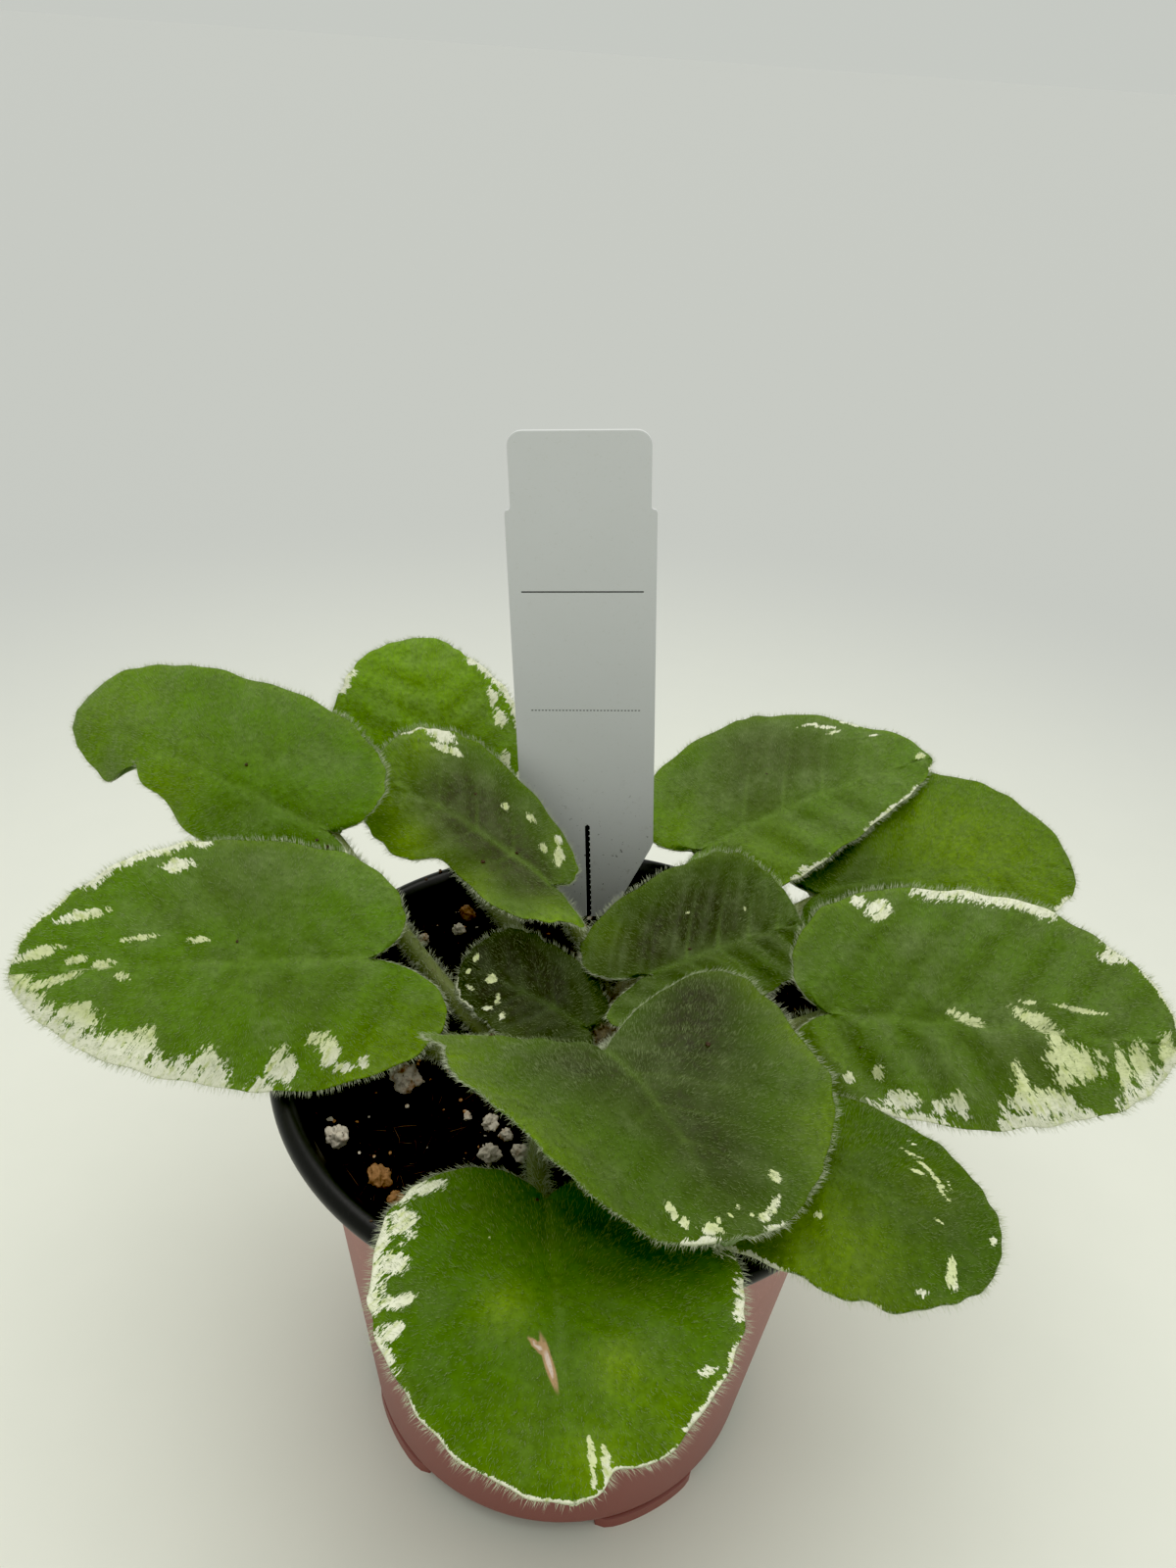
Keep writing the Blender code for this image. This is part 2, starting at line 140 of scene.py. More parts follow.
# %% Mesh tools
def mesh_object(name, points, polygons, finish=None, smooth=True):
    """An object from points in mm and a list of arrays of corners, one array for each count."""
    data = bpy.data.meshes.new(name)
    corners = np.concatenate([part.ravel() for part in polygons])
    sizes = np.concatenate([np.full(len(part), part.shape[1]) for part in polygons])
    starts = np.concatenate(([0], np.cumsum(sizes)[:-1]))
    data.vertices.add(len(points))
    data.vertices.foreach_set("co", (np.asarray(points) * MM).astype(np.float32).ravel())
    data.loops.add(len(corners))
    data.loops.foreach_set("vertex_index", corners.astype(np.int32))
    data.polygons.add(len(sizes))
    data.polygons.foreach_set("loop_start", starts.astype(np.int32))
    data.update(calc_edges=True)
    data.polygons.foreach_set("use_smooth", np.full(len(sizes), smooth))
    if finish:
        data.materials.append(finish)
    made = bpy.data.objects.new(name, data)
    scene.collection.objects.link(made)
    return made


def paint(thing, name, values):
    """Stores a number, or three, on each vertex for the materials to read."""
    values = np.asarray(values, dtype=np.float32)
    kind, field = ("FLOAT_VECTOR", "vector") if values.ndim == 2 else ("FLOAT", "value")
    made = thing.data.attributes.new(name, kind, "POINT")
    made.data.foreach_set(field, values.ravel())


def settle(thing, slot, *nodes):
    """The piece rides with the plant, and stands for these solids of the frame."""
    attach(thing, "root")
    if nodes:
        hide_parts(*nodes)
    return thing


def unit(vectors):
    return vectors / np.maximum(np.linalg.norm(vectors, axis=-1, keepdims=True), 1e-9)


def bands(rows, sides, outward=False):
    """The numbers of a stack of closed rings, each ring's next numbers, and the quads between."""
    index = np.arange(rows * sides).reshape(rows, sides)
    after = np.roll(index, -1, axis=1)
    quads = np.stack([index[:-1], index[1:], after[1:], after[:-1]], -1).reshape(-1, 4)
    if outward:
        quads = np.roll(quads[:, ::-1], 1, axis=1)
    return index, after, quads


def mended(data, merge=0.0, fill=False):
    """Merges points this close in metres, or fills open ends, and turns all faces outwards."""
    work = bmesh.new()
    work.from_mesh(data)
    if merge:
        bmesh.ops.remove_doubles(work, verts=work.verts, dist=merge)
    if fill:
        bmesh.ops.holes_fill(work, edges=work.edges, sides=0)
    bmesh.ops.recalc_face_normals(work, faces=work.faces)
    work.to_mesh(data)
    work.free()


# %% [markdown]
# ## Shared shader groups
# Grain and dust show up on nearly every finish here, so each is a node group with its own
# dials, placed in each material with its own values. Groups give out colours, masks and
# heights only; the surface shader stays in each material.


# %% Tools for nodes
def add_node(tree, kind, **settings):
    """A node with its properties and its inputs set by name."""
    made = tree.nodes.new(kind)
    for key, value in settings.items():
        if hasattr(made, key):
            setattr(made, key, value)
        else:
            made.inputs[key.replace("_", " ")].default_value = value
    return made


def joined(tree, source, target):
    tree.links.new(source, target)


def arithmetic(tree, operation, first, second=0.0, third=None):
    """A Math node. Each of its terms is a number or a socket."""
    made = tree.nodes.new("ShaderNodeMath")
    made.operation = operation
    for place, term in enumerate((first, second, third)):
        if term is None:
            continue
        if isinstance(term, (int, float)):
            made.inputs[place].default_value = term
        else:
            joined(tree, term, made.inputs[place])
    return made.outputs[0]


def times(tree, first, second):
    return arithmetic(tree, "MULTIPLY", first, second)


def linear(tree, value, slope, start):
    """value times slope, plus start."""
    return arithmetic(tree, "MULTIPLY_ADD", value, slope, start)


def blended(tree, mask, first, second, style="MIX"):
    """A colour mix. mask is a number or a socket, and so are the colours, or tuples."""
    made = tree.nodes.new("ShaderNodeMix")
    made.data_type = "RGBA"
    made.blend_type = style
    for place, term in ((0, mask), (6, first), (7, second)):
        if isinstance(term, (int, float)):
            made.inputs[place].default_value = term
        elif isinstance(term, tuple):
            made.inputs[place].default_value = (*term, 1)
        else:
            joined(tree, term, made.inputs[place])
    return made.outputs[2]


def stepped(tree, value, low, high):
    """0 below low, 1 above high, smooth between them."""
    made = tree.nodes.new("ShaderNodeMapRange")
    made.interpolation_type = "SMOOTHSTEP"
    made.inputs["From Min"].default_value = low
    made.inputs["From Max"].default_value = high
    joined(tree, value, made.inputs["Value"])
    return made.outputs["Result"]


def cloud(tree, vector, scale, detail=3, roughness=0.5):
    """Noise read at a socket of millimetres, so that scale is its waves per millimetre."""
    made = add_node(tree, "ShaderNodeTexNoise", Scale=scale, Detail=detail, Roughness=roughness)
    joined(tree, vector, made.inputs["Vector"])
    return made.outputs["Fac"]


def millimetres(tree):
    """The piece's own coordinates in millimetres."""
    source = tree.nodes.new("ShaderNodeTexCoord")
    scale = tree.nodes.new("ShaderNodeVectorMath")
    scale.operation = "SCALE"
    scale.inputs["Scale"].default_value = 1 / MM
    joined(tree, source.outputs["Object"], scale.inputs[0])
    return scale.outputs[0]


def attribute(tree, name, output="Fac"):
    return add_node(tree, "ShaderNodeAttribute", attribute_name=name).outputs[output]


def empty_group(name, inputs, outputs):
    """A node group with these sockets, each a name with its kind and first value."""
    tree = bpy.data.node_groups.new(name, "ShaderNodeTree")
    for label, kind, value in inputs:
        socket = tree.interface.new_socket(label, in_out="INPUT", socket_type=kind)
        if value is not None:
            socket.default_value = value
    for label, kind in outputs:
        tree.interface.new_socket(label, in_out="OUTPUT", socket_type=kind)
    return tree, tree.nodes.new("NodeGroupInput"), tree.nodes.new("NodeGroupOutput")


def placed(tree, group, **links):
    """The group in a material. Each dial is set to a number or colour, or linked to a socket."""
    made = tree.nodes.new("ShaderNodeGroup")
    made.node_tree = group
    for key, value in links.items():
        socket = made.inputs[key.replace("_", " ")]
        if isinstance(value, (int, float)):
            socket.default_value = value
        elif isinstance(value, tuple):
            socket.default_value = (*value, 1)
        else:
            joined(tree, value, socket)
    return made


def new_finish(name, roughness=0.6, **constants):
    """A material with its tree and its surface shader."""
    made = bpy.data.materials.new(name)
    made.use_nodes = True
    shader = made.node_tree.nodes["Principled BSDF"]
    shader.inputs["Roughness"].default_value = roughness
    for key, value in constants.items():
        shader.inputs[key.replace("_", " ")].default_value = value
    return made, made.node_tree, shader


def embossed(tree, shader, height, strength, distance):
    """Feeds a height in mm into the shader's normal."""
    bump = add_node(tree, "ShaderNodeBump", Strength=strength, Distance=distance * MM)
    joined(tree, height, bump.inputs["Height"])
    joined(tree, bump.outputs["Normal"], shader.inputs["Normal"])


# %% Group: grain
grain_group, dials, result = empty_group(
    "grain",
    [("Vector", "NodeSocketVector", None), ("Scale", "NodeSocketFloat", 1.0)],
    [("Fine", "NodeSocketFloat"), ("Broad", "NodeSocketFloat")],
)
tree = grain_group
scaled = tree.nodes.new("ShaderNodeVectorMath")
scaled.operation = "SCALE"
joined(tree, dials.outputs["Vector"], scaled.inputs[0])
joined(tree, dials.outputs["Scale"], scaled.inputs["Scale"])
joined(tree, cloud(tree, scaled.outputs[0], 1.0, 4, 0.6), result.inputs["Fine"])
joined(tree, cloud(tree, scaled.outputs[0], 0.12, 3), result.inputs["Broad"])
print("group:", grain_group.name)

# %% Group: dust
dust_group, dials, result = empty_group(
    "dust",
    [
        ("Vector", "NodeSocketVector", None),
        ("Clean", "NodeSocketColor", (0.5, 0.5, 0.5, 1)),
        ("Dust", "NodeSocketColor", (0.5, 0.5, 0.5, 1)),
        ("Amount", "NodeSocketFloat", 0.3),
        ("Clean Roughness", "NodeSocketFloat", 0.4),
    ],
    [("Color", "NodeSocketColor"), ("Roughness", "NodeSocketFloat")],
)
tree = dust_group
patches = cloud(tree, dials.outputs["Vector"], 0.09, 4, 0.65)
specks = cloud(tree, dials.outputs["Vector"], 1.7, 2, 0.7)
even = linear(tree, stepped(tree, patches, 0.05, 0.95), 0.4, 0.3)
film = times(tree, even, dials.outputs["Amount"])
spotted = times(tree, stepped(tree, specks, 0.6, 0.75), dials.outputs["Amount"])
film = arithmetic(tree, "ADD", film, spotted)
film = arithmetic(tree, "MINIMUM", film, 1.0)
joined(tree, blended(tree, film, dials.outputs["Clean"], dials.outputs["Dust"]),
       result.inputs["Color"])
rougher = times(tree, film, 0.35)
joined(tree, arithmetic(tree, "ADD", dials.outputs["Clean Roughness"], rougher),
       result.inputs["Roughness"])
print("group:", dust_group.name)

# %% [markdown]
# ## Floor
# A plain pale floor that runs to the horizon. It belongs to the stage and not to the plant.
# It is warm and bright round the pot and greyer farther off, where a tent's light falls away.
# Lamps with a falloff would show the same, but this way the light on the plant stays even.

# %% Floor
FLOOR_REACH = 60000
FLOOR_FADE = (130, 520)
floor_finish, tree, shader = new_finish("pale_floor", 0.8)
floor_place = millimetres(tree)
floor_grain = placed(tree, grain_group, Vector=floor_place, Scale=0.5)
near_colour = blended(tree, floor_grain.outputs["Broad"], (0.76, 0.775, 0.70), (0.79, 0.80, 0.725))
span = tree.nodes.new("ShaderNodeVectorMath")
span.operation = "LENGTH"
joined(tree, floor_place, span.inputs[0])
far_off = stepped(tree, span.outputs["Value"], *FLOOR_FADE)
joined(tree, blended(tree, far_off, near_colour, (0.537, 0.548, 0.536)),
       shader.inputs["Base Color"])
corners = np.array([(-1, -1, 0), (1, -1, 0), (1, 1, 0), (-1, 1, 0)]) * FLOOR_REACH
floor = mesh_object("floor", corners, [np.array([[0, 1, 2, 3]])], floor_finish, smooth=False)
floor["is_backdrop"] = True
print("floor reach in m:", FLOOR_REACH * MM)

# %% [markdown]
# ## Pot
# A nursery pot is one thin sheet drawn over a mould: a tapering wall, a short collar, a rolled
# rim, a floor with drain holes, and four feet. A turned profile gives the round parts, and its
# sheet is two-coloured: terracotta outside, black inside and over the rim. The frame's own
# profile is repeated with more steps, so that the rim shows no flats.

# %% Pot sizes
POT_TOP = 92
RIM_RADIUS = 52.8
RIM_LIP = 4
COLLAR_FOOT_Z = 80
COLLAR_FOOT_RADIUS = 45.4
COLLAR_TOP_RADIUS = 49
BASE_RADIUS = 38.2
BASE_CORNER = 3
SHEET = 1
FLOOR_Z = 2.5
PAD_RADIUS = 12
SOIL_TOP = 85.5
FOOT_ANGLES = (-56, 31, 124, 211)
FOOT_SPAN = 34
FOOT_RADIUS = 35.6
FOOT_WIDTH = 4.8
DRAIN_RADIUS = 3
DRAIN_RING = 23
DRAIN_COUNT = 6
DRAIN_CUT = 8
POT_STEPS = 160


def arc(centre, radius, start, end, count):
    """Points along a circle's arc, the angles in degrees."""
    turns = np.radians(np.linspace(start, end, count + 1))
    return [(centre[0] + radius * math.cos(a), centre[1] + radius * math.sin(a)) for a in turns]


def inner_radius(z):
    """The pot's inner radius at this height."""
    if z <= COLLAR_FOOT_Z:
        share = (z - FLOOR_Z) / (COLLAR_FOOT_Z - FLOOR_Z)
        return BASE_RADIUS + share * (COLLAR_FOOT_RADIUS - BASE_RADIUS) - SHEET
    share = min(1, (z - COLLAR_FOOT_Z) / (POT_TOP - RIM_LIP - COLLAR_FOOT_Z))
    return COLLAR_FOOT_RADIUS + share * (COLLAR_TOP_RADIUS - COLLAR_FOOT_RADIUS) - SHEET


def turned(name, profile, steps, finish):
    """A closed loop of (radius, z) points turned about the pot's axis."""
    profile = np.array(profile, float)
    turns = np.arange(steps) * math.tau / steps
    rings = np.stack([
        np.outer(profile[:, 0], np.cos(turns)),
        np.outer(profile[:, 0], np.sin(turns)),
        np.repeat(profile[:, 1:], steps, axis=1),
    ], axis=-1)
    index, after, _ = bands(len(profile), steps)
    lower, lower_after = np.roll(index, -1, axis=0), np.roll(after, -1, axis=0)
    quads = np.stack([index, lower, lower_after, after], -1).reshape(-1, 4)
    made = mesh_object(name, rings.reshape(-1, 3), [quads], finish)
    mended(made.data, merge=0.000001)
    return made


print("collar inner radius:", round(inner_radius(POT_TOP - RIM_LIP), 2))


# %% Pot finishes
DUST_AND_HIGHLIGHT_CLIMB = (8, 84)


def pot_finish(name, shine, clean, dust, amount, roughness, scale, bump):
    """Dusty sheet plastic. amount is how dusty it is, or a pair: low down, and near the rim. A pair
    makes the wall paler towards the rim, partly dust and partly a painted highlight.
    """
    made, tree, shader = new_finish(name, Specular_IOR_Level=shine)
    place = millimetres(tree)
    # The pale film rises up the wall: dust, and a painted highlight on the upper wall.
    if isinstance(amount, tuple):
        height = tree.nodes.new("ShaderNodeSeparateXYZ")
        joined(tree, place, height.inputs[0])
        dust_and_highlight = stepped(tree, height.outputs[2], *DUST_AND_HIGHLIGHT_CLIMB)
        amount = linear(tree, dust_and_highlight, amount[1] - amount[0], amount[0])
    coat = placed(tree, dust_group, Vector=place, Clean=clean, Dust=dust, Amount=amount,
                  Clean_Roughness=roughness)
    joined(tree, coat.outputs["Color"], shader.inputs["Base Color"])
    joined(tree, coat.outputs["Roughness"], shader.inputs["Roughness"])
    fine = placed(tree, grain_group, Vector=place, Scale=scale)
    embossed(tree, shader, fine.outputs["Fine"], *bump)
    return made


# The terracotta's pale pink towards the rim is partly dust and partly a painted highlight.
terracotta = pot_finish("terracotta_plastic", 0.45, (0.255, 0.076, 0.062), (0.55, 0.32, 0.28),
                        (0.0, 0.95), 0.42, 2.5, (0.25, 0.12))
black_plastic = pot_finish("black_plastic", 0.3, (0.004, 0.004, 0.004), (0.03, 0.027, 0.023),
                           0.2, 0.3, 1.2, (0.2, 0.1))
print("pot finishes made")

# %% Pot body
rim_round = RIM_LIP / 2
lip = arc((RIM_RADIUS - rim_round, POT_TOP - rim_round), rim_round, 90, -90, 16)
bead = arc((COLLAR_FOOT_RADIUS + 0.9, COLLAR_FOOT_Z + 1.6), 0.7, 70, -70, 6)
corner = (BASE_RADIUS - BASE_CORNER, FLOOR_Z + BASE_CORNER)
outside = [
    *lip,
    (COLLAR_TOP_RADIUS + 0.3, POT_TOP - RIM_LIP),
    (COLLAR_TOP_RADIUS, POT_TOP - RIM_LIP - 0.8),
    *bead,
    (COLLAR_FOOT_RADIUS, COLLAR_FOOT_Z),
    *[(BASE_RADIUS + (COLLAR_FOOT_RADIUS - BASE_RADIUS) * s, FLOOR_Z + BASE_CORNER
       + (COLLAR_FOOT_Z - FLOOR_Z - BASE_CORNER) * s) for s in (0.8, 0.6, 0.4, 0.2)],
    *arc(corner, BASE_CORNER, 0, -90, 8),
    (PAD_RADIUS + FLOOR_Z, FLOOR_Z),
    (PAD_RADIUS, 0),
    (0.001, 0),
]
inside = [
    (0.001, SHEET),
    (PAD_RADIUS - SHEET, SHEET),
    (PAD_RADIUS + FLOOR_Z - SHEET, FLOOR_Z + SHEET),
    (BASE_RADIUS - BASE_CORNER, FLOOR_Z + SHEET),
    (BASE_RADIUS - SHEET, FLOOR_Z + BASE_CORNER),
    (inner_radius(COLLAR_FOOT_Z), COLLAR_FOOT_Z),
    (inner_radius(POT_TOP - RIM_LIP), POT_TOP - RIM_LIP),
    (inner_radius(POT_TOP - RIM_LIP) + 0.3, POT_TOP - 2.6),
    (inner_radius(POT_TOP - RIM_LIP) + 0.9, POT_TOP - 1.2),
    (COLLAR_TOP_RADIUS + 0.5, POT_TOP - 0.9),
    (COLLAR_TOP_RADIUS + 1, POT_TOP - 0.25),
]
pot = turned("pot_body", outside + inside, POT_STEPS, terracotta)
pot.data.materials.append(black_plastic)
for face in pot.data.polygons:
    radius = math.hypot(face.center.x, face.center.y) / MM
    high = face.center.z / MM
    inner = high > FLOOR_Z + 0.4 and radius < inner_radius(high) + SHEET / 2
    inner = inner or (radius < BASE_RADIUS - 4 and high > SHEET * 0.75 and face.normal.z > 0.5)
    if inner or high > POT_TOP - RIM_LIP - 0.5:
        face.material_index = 1
print("pot faces:", len(pot.data.polygons))


# %% Feet and drain holes
def foot_bar(angle):
    """A bar with rounded ends, bent along the pot's round."""
    turn = math.radians(angle - 90)
    half = math.radians(FOOT_SPAN / 2)
    steps = np.linspace(-1, 1, 15)
    shape = [(-1, 0), (1, 0), (1, 0.9), (0.7, 1), (-0.7, 1), (-1, 0.9)]
    points = []
    for step in steps:
        width = FOOT_WIDTH / 2 * (1 - 0.5 * abs(step) ** 8)
        for side, up in shape:
            radius = FOOT_RADIUS + side * width
            a = turn + step * half
            points.append((radius * math.cos(a), radius * math.sin(a), up * (FLOOR_Z + SHEET / 2)))
    quads = bands(len(steps), len(shape), outward=True)[2]
    made = mesh_object("foot", np.array(points), [quads])
    mended(made.data, fill=True)
    return made


def cut(target, cutter, operation):
    """Applies one Boolean and removes the cutter."""
    step = target.modifiers.new("cut", "BOOLEAN")
    step.operation = operation
    step.solver = "EXACT"
    step.object = cutter
    graph = bpy.context.evaluated_depsgraph_get()
    done = bpy.data.meshes.new_from_object(target.evaluated_get(graph))
    target.modifiers.clear()
    target.data = done
    bpy.data.objects.remove(cutter)


for angle in FOOT_ANGLES:
    cut(pot, foot_bar(angle), "UNION")
for number in range(DRAIN_COUNT):
    turn = math.tau * number / DRAIN_COUNT
    hole = bmesh.new()
    bmesh.ops.create_cone(hole, cap_ends=True, segments=40, radius1=DRAIN_RADIUS * MM,
                          radius2=DRAIN_RADIUS * MM, depth=DRAIN_CUT * MM)
    data = bpy.data.meshes.new("drain")
    hole.to_mesh(data)
    hole.free()
    drill = bpy.data.objects.new("drain", data)
    scene.collection.objects.link(drill)
    place = (DRAIN_RING * math.cos(turn), DRAIN_RING * math.sin(turn), FLOOR_Z)
    drill.location = Vector(place) * MM
    cut(pot, drill, "DIFFERENCE")
sharp = pot.modifiers.new("crisp edges", "EDGE_SPLIT")
sharp.split_angle = math.radians(50)
settle(pot, "pot_plastic", "pot")
print("pot faces with feet and holes:", len(pot.data.polygons))

# %% [markdown]
# ## Soil
# Peat mix is a dark crumbly surface with brown fibres in it and a few bright specks. A bump map
# alone would look painted, so the top is a fine grid that is really lumpy, and loose crumbs and
# fibres lie on it as small solids. The body below fills the pot as the frame's solid does.

# %% Soil finish
peat, tree, shader = new_finish("peat_mix", 0.9, Specular_IOR_Level=0.12)
place = millimetres(tree)
fine = placed(tree, grain_group, Vector=place, Scale=2.2)
base = blended(tree, fine.outputs["Broad"], (0.0045, 0.0034, 0.0026), (0.013, 0.0092, 0.0062))
crumbs = stepped(tree, fine.outputs["Fine"], 0.58, 0.72)
joined(tree, blended(tree, crumbs, base, (0.045, 0.026, 0.014)), shader.inputs["Base Color"])
joined(tree, linear(tree, fine.outputs["Fine"], 0.3, 0.7), shader.inputs["Roughness"])
embossed(tree, shader, fine.outputs["Fine"], 0.8, 0.6)


def two_tone(name, roughness, scale, dark, light, bump=None, **constants):
    """A finish that runs between two colours with the grain."""
    made, tree, shader = new_finish(name, roughness, **constants)
    fine = placed(tree, grain_group, Vector=millimetres(tree), Scale=scale).outputs["Fine"]
    joined(tree, blended(tree, fine, dark, light), shader.inputs["Base Color"])
    if bump:
        embossed(tree, shader, fine, *bump)
    return made


fibre_brown = two_tone("peat_fibre", 0.8, 0.8, (0.012, 0.007, 0.004), (0.10, 0.055, 0.026))
print("soil finishes made")

# %% Soil body
SOIL_RINGS = 110
SOIL_SPOKES = 300
SOIL_FOOT = FLOOR_Z + SHEET + 4


def soil_height(x, y):
    """The soil's lumps, in mm above its mean level."""
    spot = Vector((x, y, 3.0))
    slow = noise.noise(spot * 0.06) * 1.1
    lumps = noise.fractal(spot * 0.42, 0.8, 2.1, 4) * 0.75
    return slow + lumps


def soil_surface(radius, turn):
    x, y = radius * math.cos(turn), radius * math.sin(turn)
    calm = min(1, (inner_radius(SOIL_TOP) - 0.3 - radius) / 3)
    return x, y, SOIL_TOP + soil_height(x, y) * (0.25 + 0.75 * calm) - 0.3


soil_points = []
edge = inner_radius(SOIL_TOP) - 0.15
for ring in range(1, SOIL_RINGS + 1):
    for spoke in range(SOIL_SPOKES):
        radius = edge * (ring / SOIL_RINGS) ** 0.8
        soil_points.append(soil_surface(radius, math.tau * spoke / SOIL_SPOKES))
for level in (COLLAR_FOOT_Z, SOIL_FOOT):
    for spoke in range(SOIL_SPOKES):
        turn = math.tau * spoke / SOIL_SPOKES
        radius = inner_radius(level) - 0.3
        soil_points.append((radius * math.cos(turn), radius * math.sin(turn), level))
soil_points.append(soil_surface(0, 0))
soil_points.append((0, 0, SOIL_FOOT))
index, after, quads = bands(SOIL_RINGS + 2, SOIL_SPOKES)
middle, under = index.size, index.size + 1
fans = np.concatenate([
    np.stack([np.full(SOIL_SPOKES, middle), index[0], after[0]], -1),
    np.stack([np.full(SOIL_SPOKES, under), after[-1], index[-1]], -1),
])
soil = mesh_object("soil_mix", np.array(soil_points), [quads, fans], peat)
settle(soil, "peat", "soil")
print("soil vertices:", len(soil_points))


# %% Loose crumbs and fibres
def ball(detail):
    """The points and triangles of a ball of radius 1."""
    work = bmesh.new()
    bmesh.ops.create_icosphere(work, subdivisions=detail, radius=1)
    verts = np.array([v.co for v in work.verts])
    faces = np.array([[v.index for v in f.verts] for f in work.faces])
    work.free()
    return verts, faces


def lumps(name, places, sizes, seed, finish):
    """Many small uneven lumps as one mesh."""
    dice = np.random.default_rng(seed)
    verts, faces = ball(1)
    count = len(places)
    bulge = dice.uniform(0.6, 1.25, (count, len(verts), 1))
    stretch = dice.uniform(0.55, 1.3, (count, 1, 3)) * np.array((1, 1, 0.7))
    points = places[:, None] + verts[None] * bulge * stretch * sizes[:, None, None]
    offsets = (np.arange(count) * len(verts))[:, None, None]
    triangles = (faces[None] + offsets).reshape(-1, 3)
    return mesh_object(name, points.reshape(-1, 3), [triangles], finish, smooth=False)


def on_soil(dice, count, reach=46.0):
    """Random places on the soil's surface."""
    radius = reach * np.sqrt(dice.random(count))
    turn = dice.random(count) * math.tau
    return np.array([soil_surface(r, t) for r, t in zip(radius, turn)])


CRUMBS = 2600
dice = np.random.default_rng(11)
crumb_places = on_soil(dice, CRUMBS)
crumbs = lumps("peat_crumbs", crumb_places, dice.uniform(0.15, 0.75, CRUMBS) ** 1.3, 12, peat)
settle(crumbs, "peat")
print("crumbs:", len(crumb_places))


# %% [markdown]
# ## Hairs
# Every green part of the plant is covered in fine pale hairs, which give the margins their
# glow. Particle hair would be quicker to grow but isn't a solid thing, so each hair is a
# closed three-sided spike with a bend at its middle, and all hairs of one leaf are one mesh.


# %% Hair builder
def spikes(roots, ways, lengths, radii, dice, sag=0.25):
    """Points and faces of closed three-sided hairs. lengths and radii are ranges in mm."""
    count = len(roots)
    lengths = dice.uniform(*lengths, count)
    radii = dice.uniform(*radii, count)
    ways = unit(ways)
    side = unit(np.cross(ways, dice.normal(size=(count, 3))))
    other = np.cross(ways, side)
    turns = np.arange(3) * math.tau / 3
    ring = (side[:, None] * np.cos(turns)[None, :, None]
            + other[:, None] * np.sin(turns)[None, :, None])
    drop = side * (lengths * sag)[:, None] * dice.uniform(-1, 1, (count, 1))
    middle = roots + ways * (lengths * 0.5)[:, None] + drop * 0.3
    tip = roots + ways * lengths[:, None] + drop
    points = np.concatenate([
        roots[:, None] + ring * radii[:, None, None],
        middle[:, None] + ring * radii[:, None, None] * 0.75,
        tip[:, None],
    ], axis=1)
    start = (np.arange(count) * 7)[:, None]
    quads = np.concatenate([start + np.array([(k, (k + 1) % 3, (k + 1) % 3 + 3, k + 3)])
                            for k in range(3)])
    tips = np.concatenate([start + np.array([(k + 3, (k + 1) % 3 + 3, 6)]) for k in range(3)])
    caps = start + np.array([(2, 1, 0)])
    return points.reshape(-1, 3), quads, tips, caps


def hair_object(name, parts, finish, slot):
    """One mesh from several bundles of spikes."""
    points, quads, triangles, start = [], [], [], 0
    for bundle_points, side_faces, tips, caps in parts:
        points.append(bundle_points)
        quads.append(side_faces + start)
        triangles += [tips + start, caps + start]
        start += len(bundle_points)
    made = mesh_object(name, np.concatenate(points),
                       [np.concatenate(quads), np.concatenate(triangles)], finish)
    return settle(made, slot)


FIBRES = 900
fibre_roots = on_soil(dice, FIBRES)
fibre_ways = dice.normal(size=(FIBRES, 3)) * (1, 1, 0.22)
fibre_parts = spikes(fibre_roots, fibre_ways, (1.0, 5.0), (0.05, 0.16), dice, 0.5)
hair_object("peat_fibres", [fibre_parts], fibre_brown, "peat")
print("fibres:", len(fibre_roots))

# %% [markdown]
# ## Leaves: the outline
# An African violet's leaf is a rounded heart: two lobes reach back past the stem, and the
# sides run in one curve to a blunt tip. Each half's edge is a Bezier curve round the lobe and
# a superellipse to the tip, the same as in the frame, so that each blade fills its place.
# Small scallops, and the bites and tears of real leaves, pull the edge in a little.

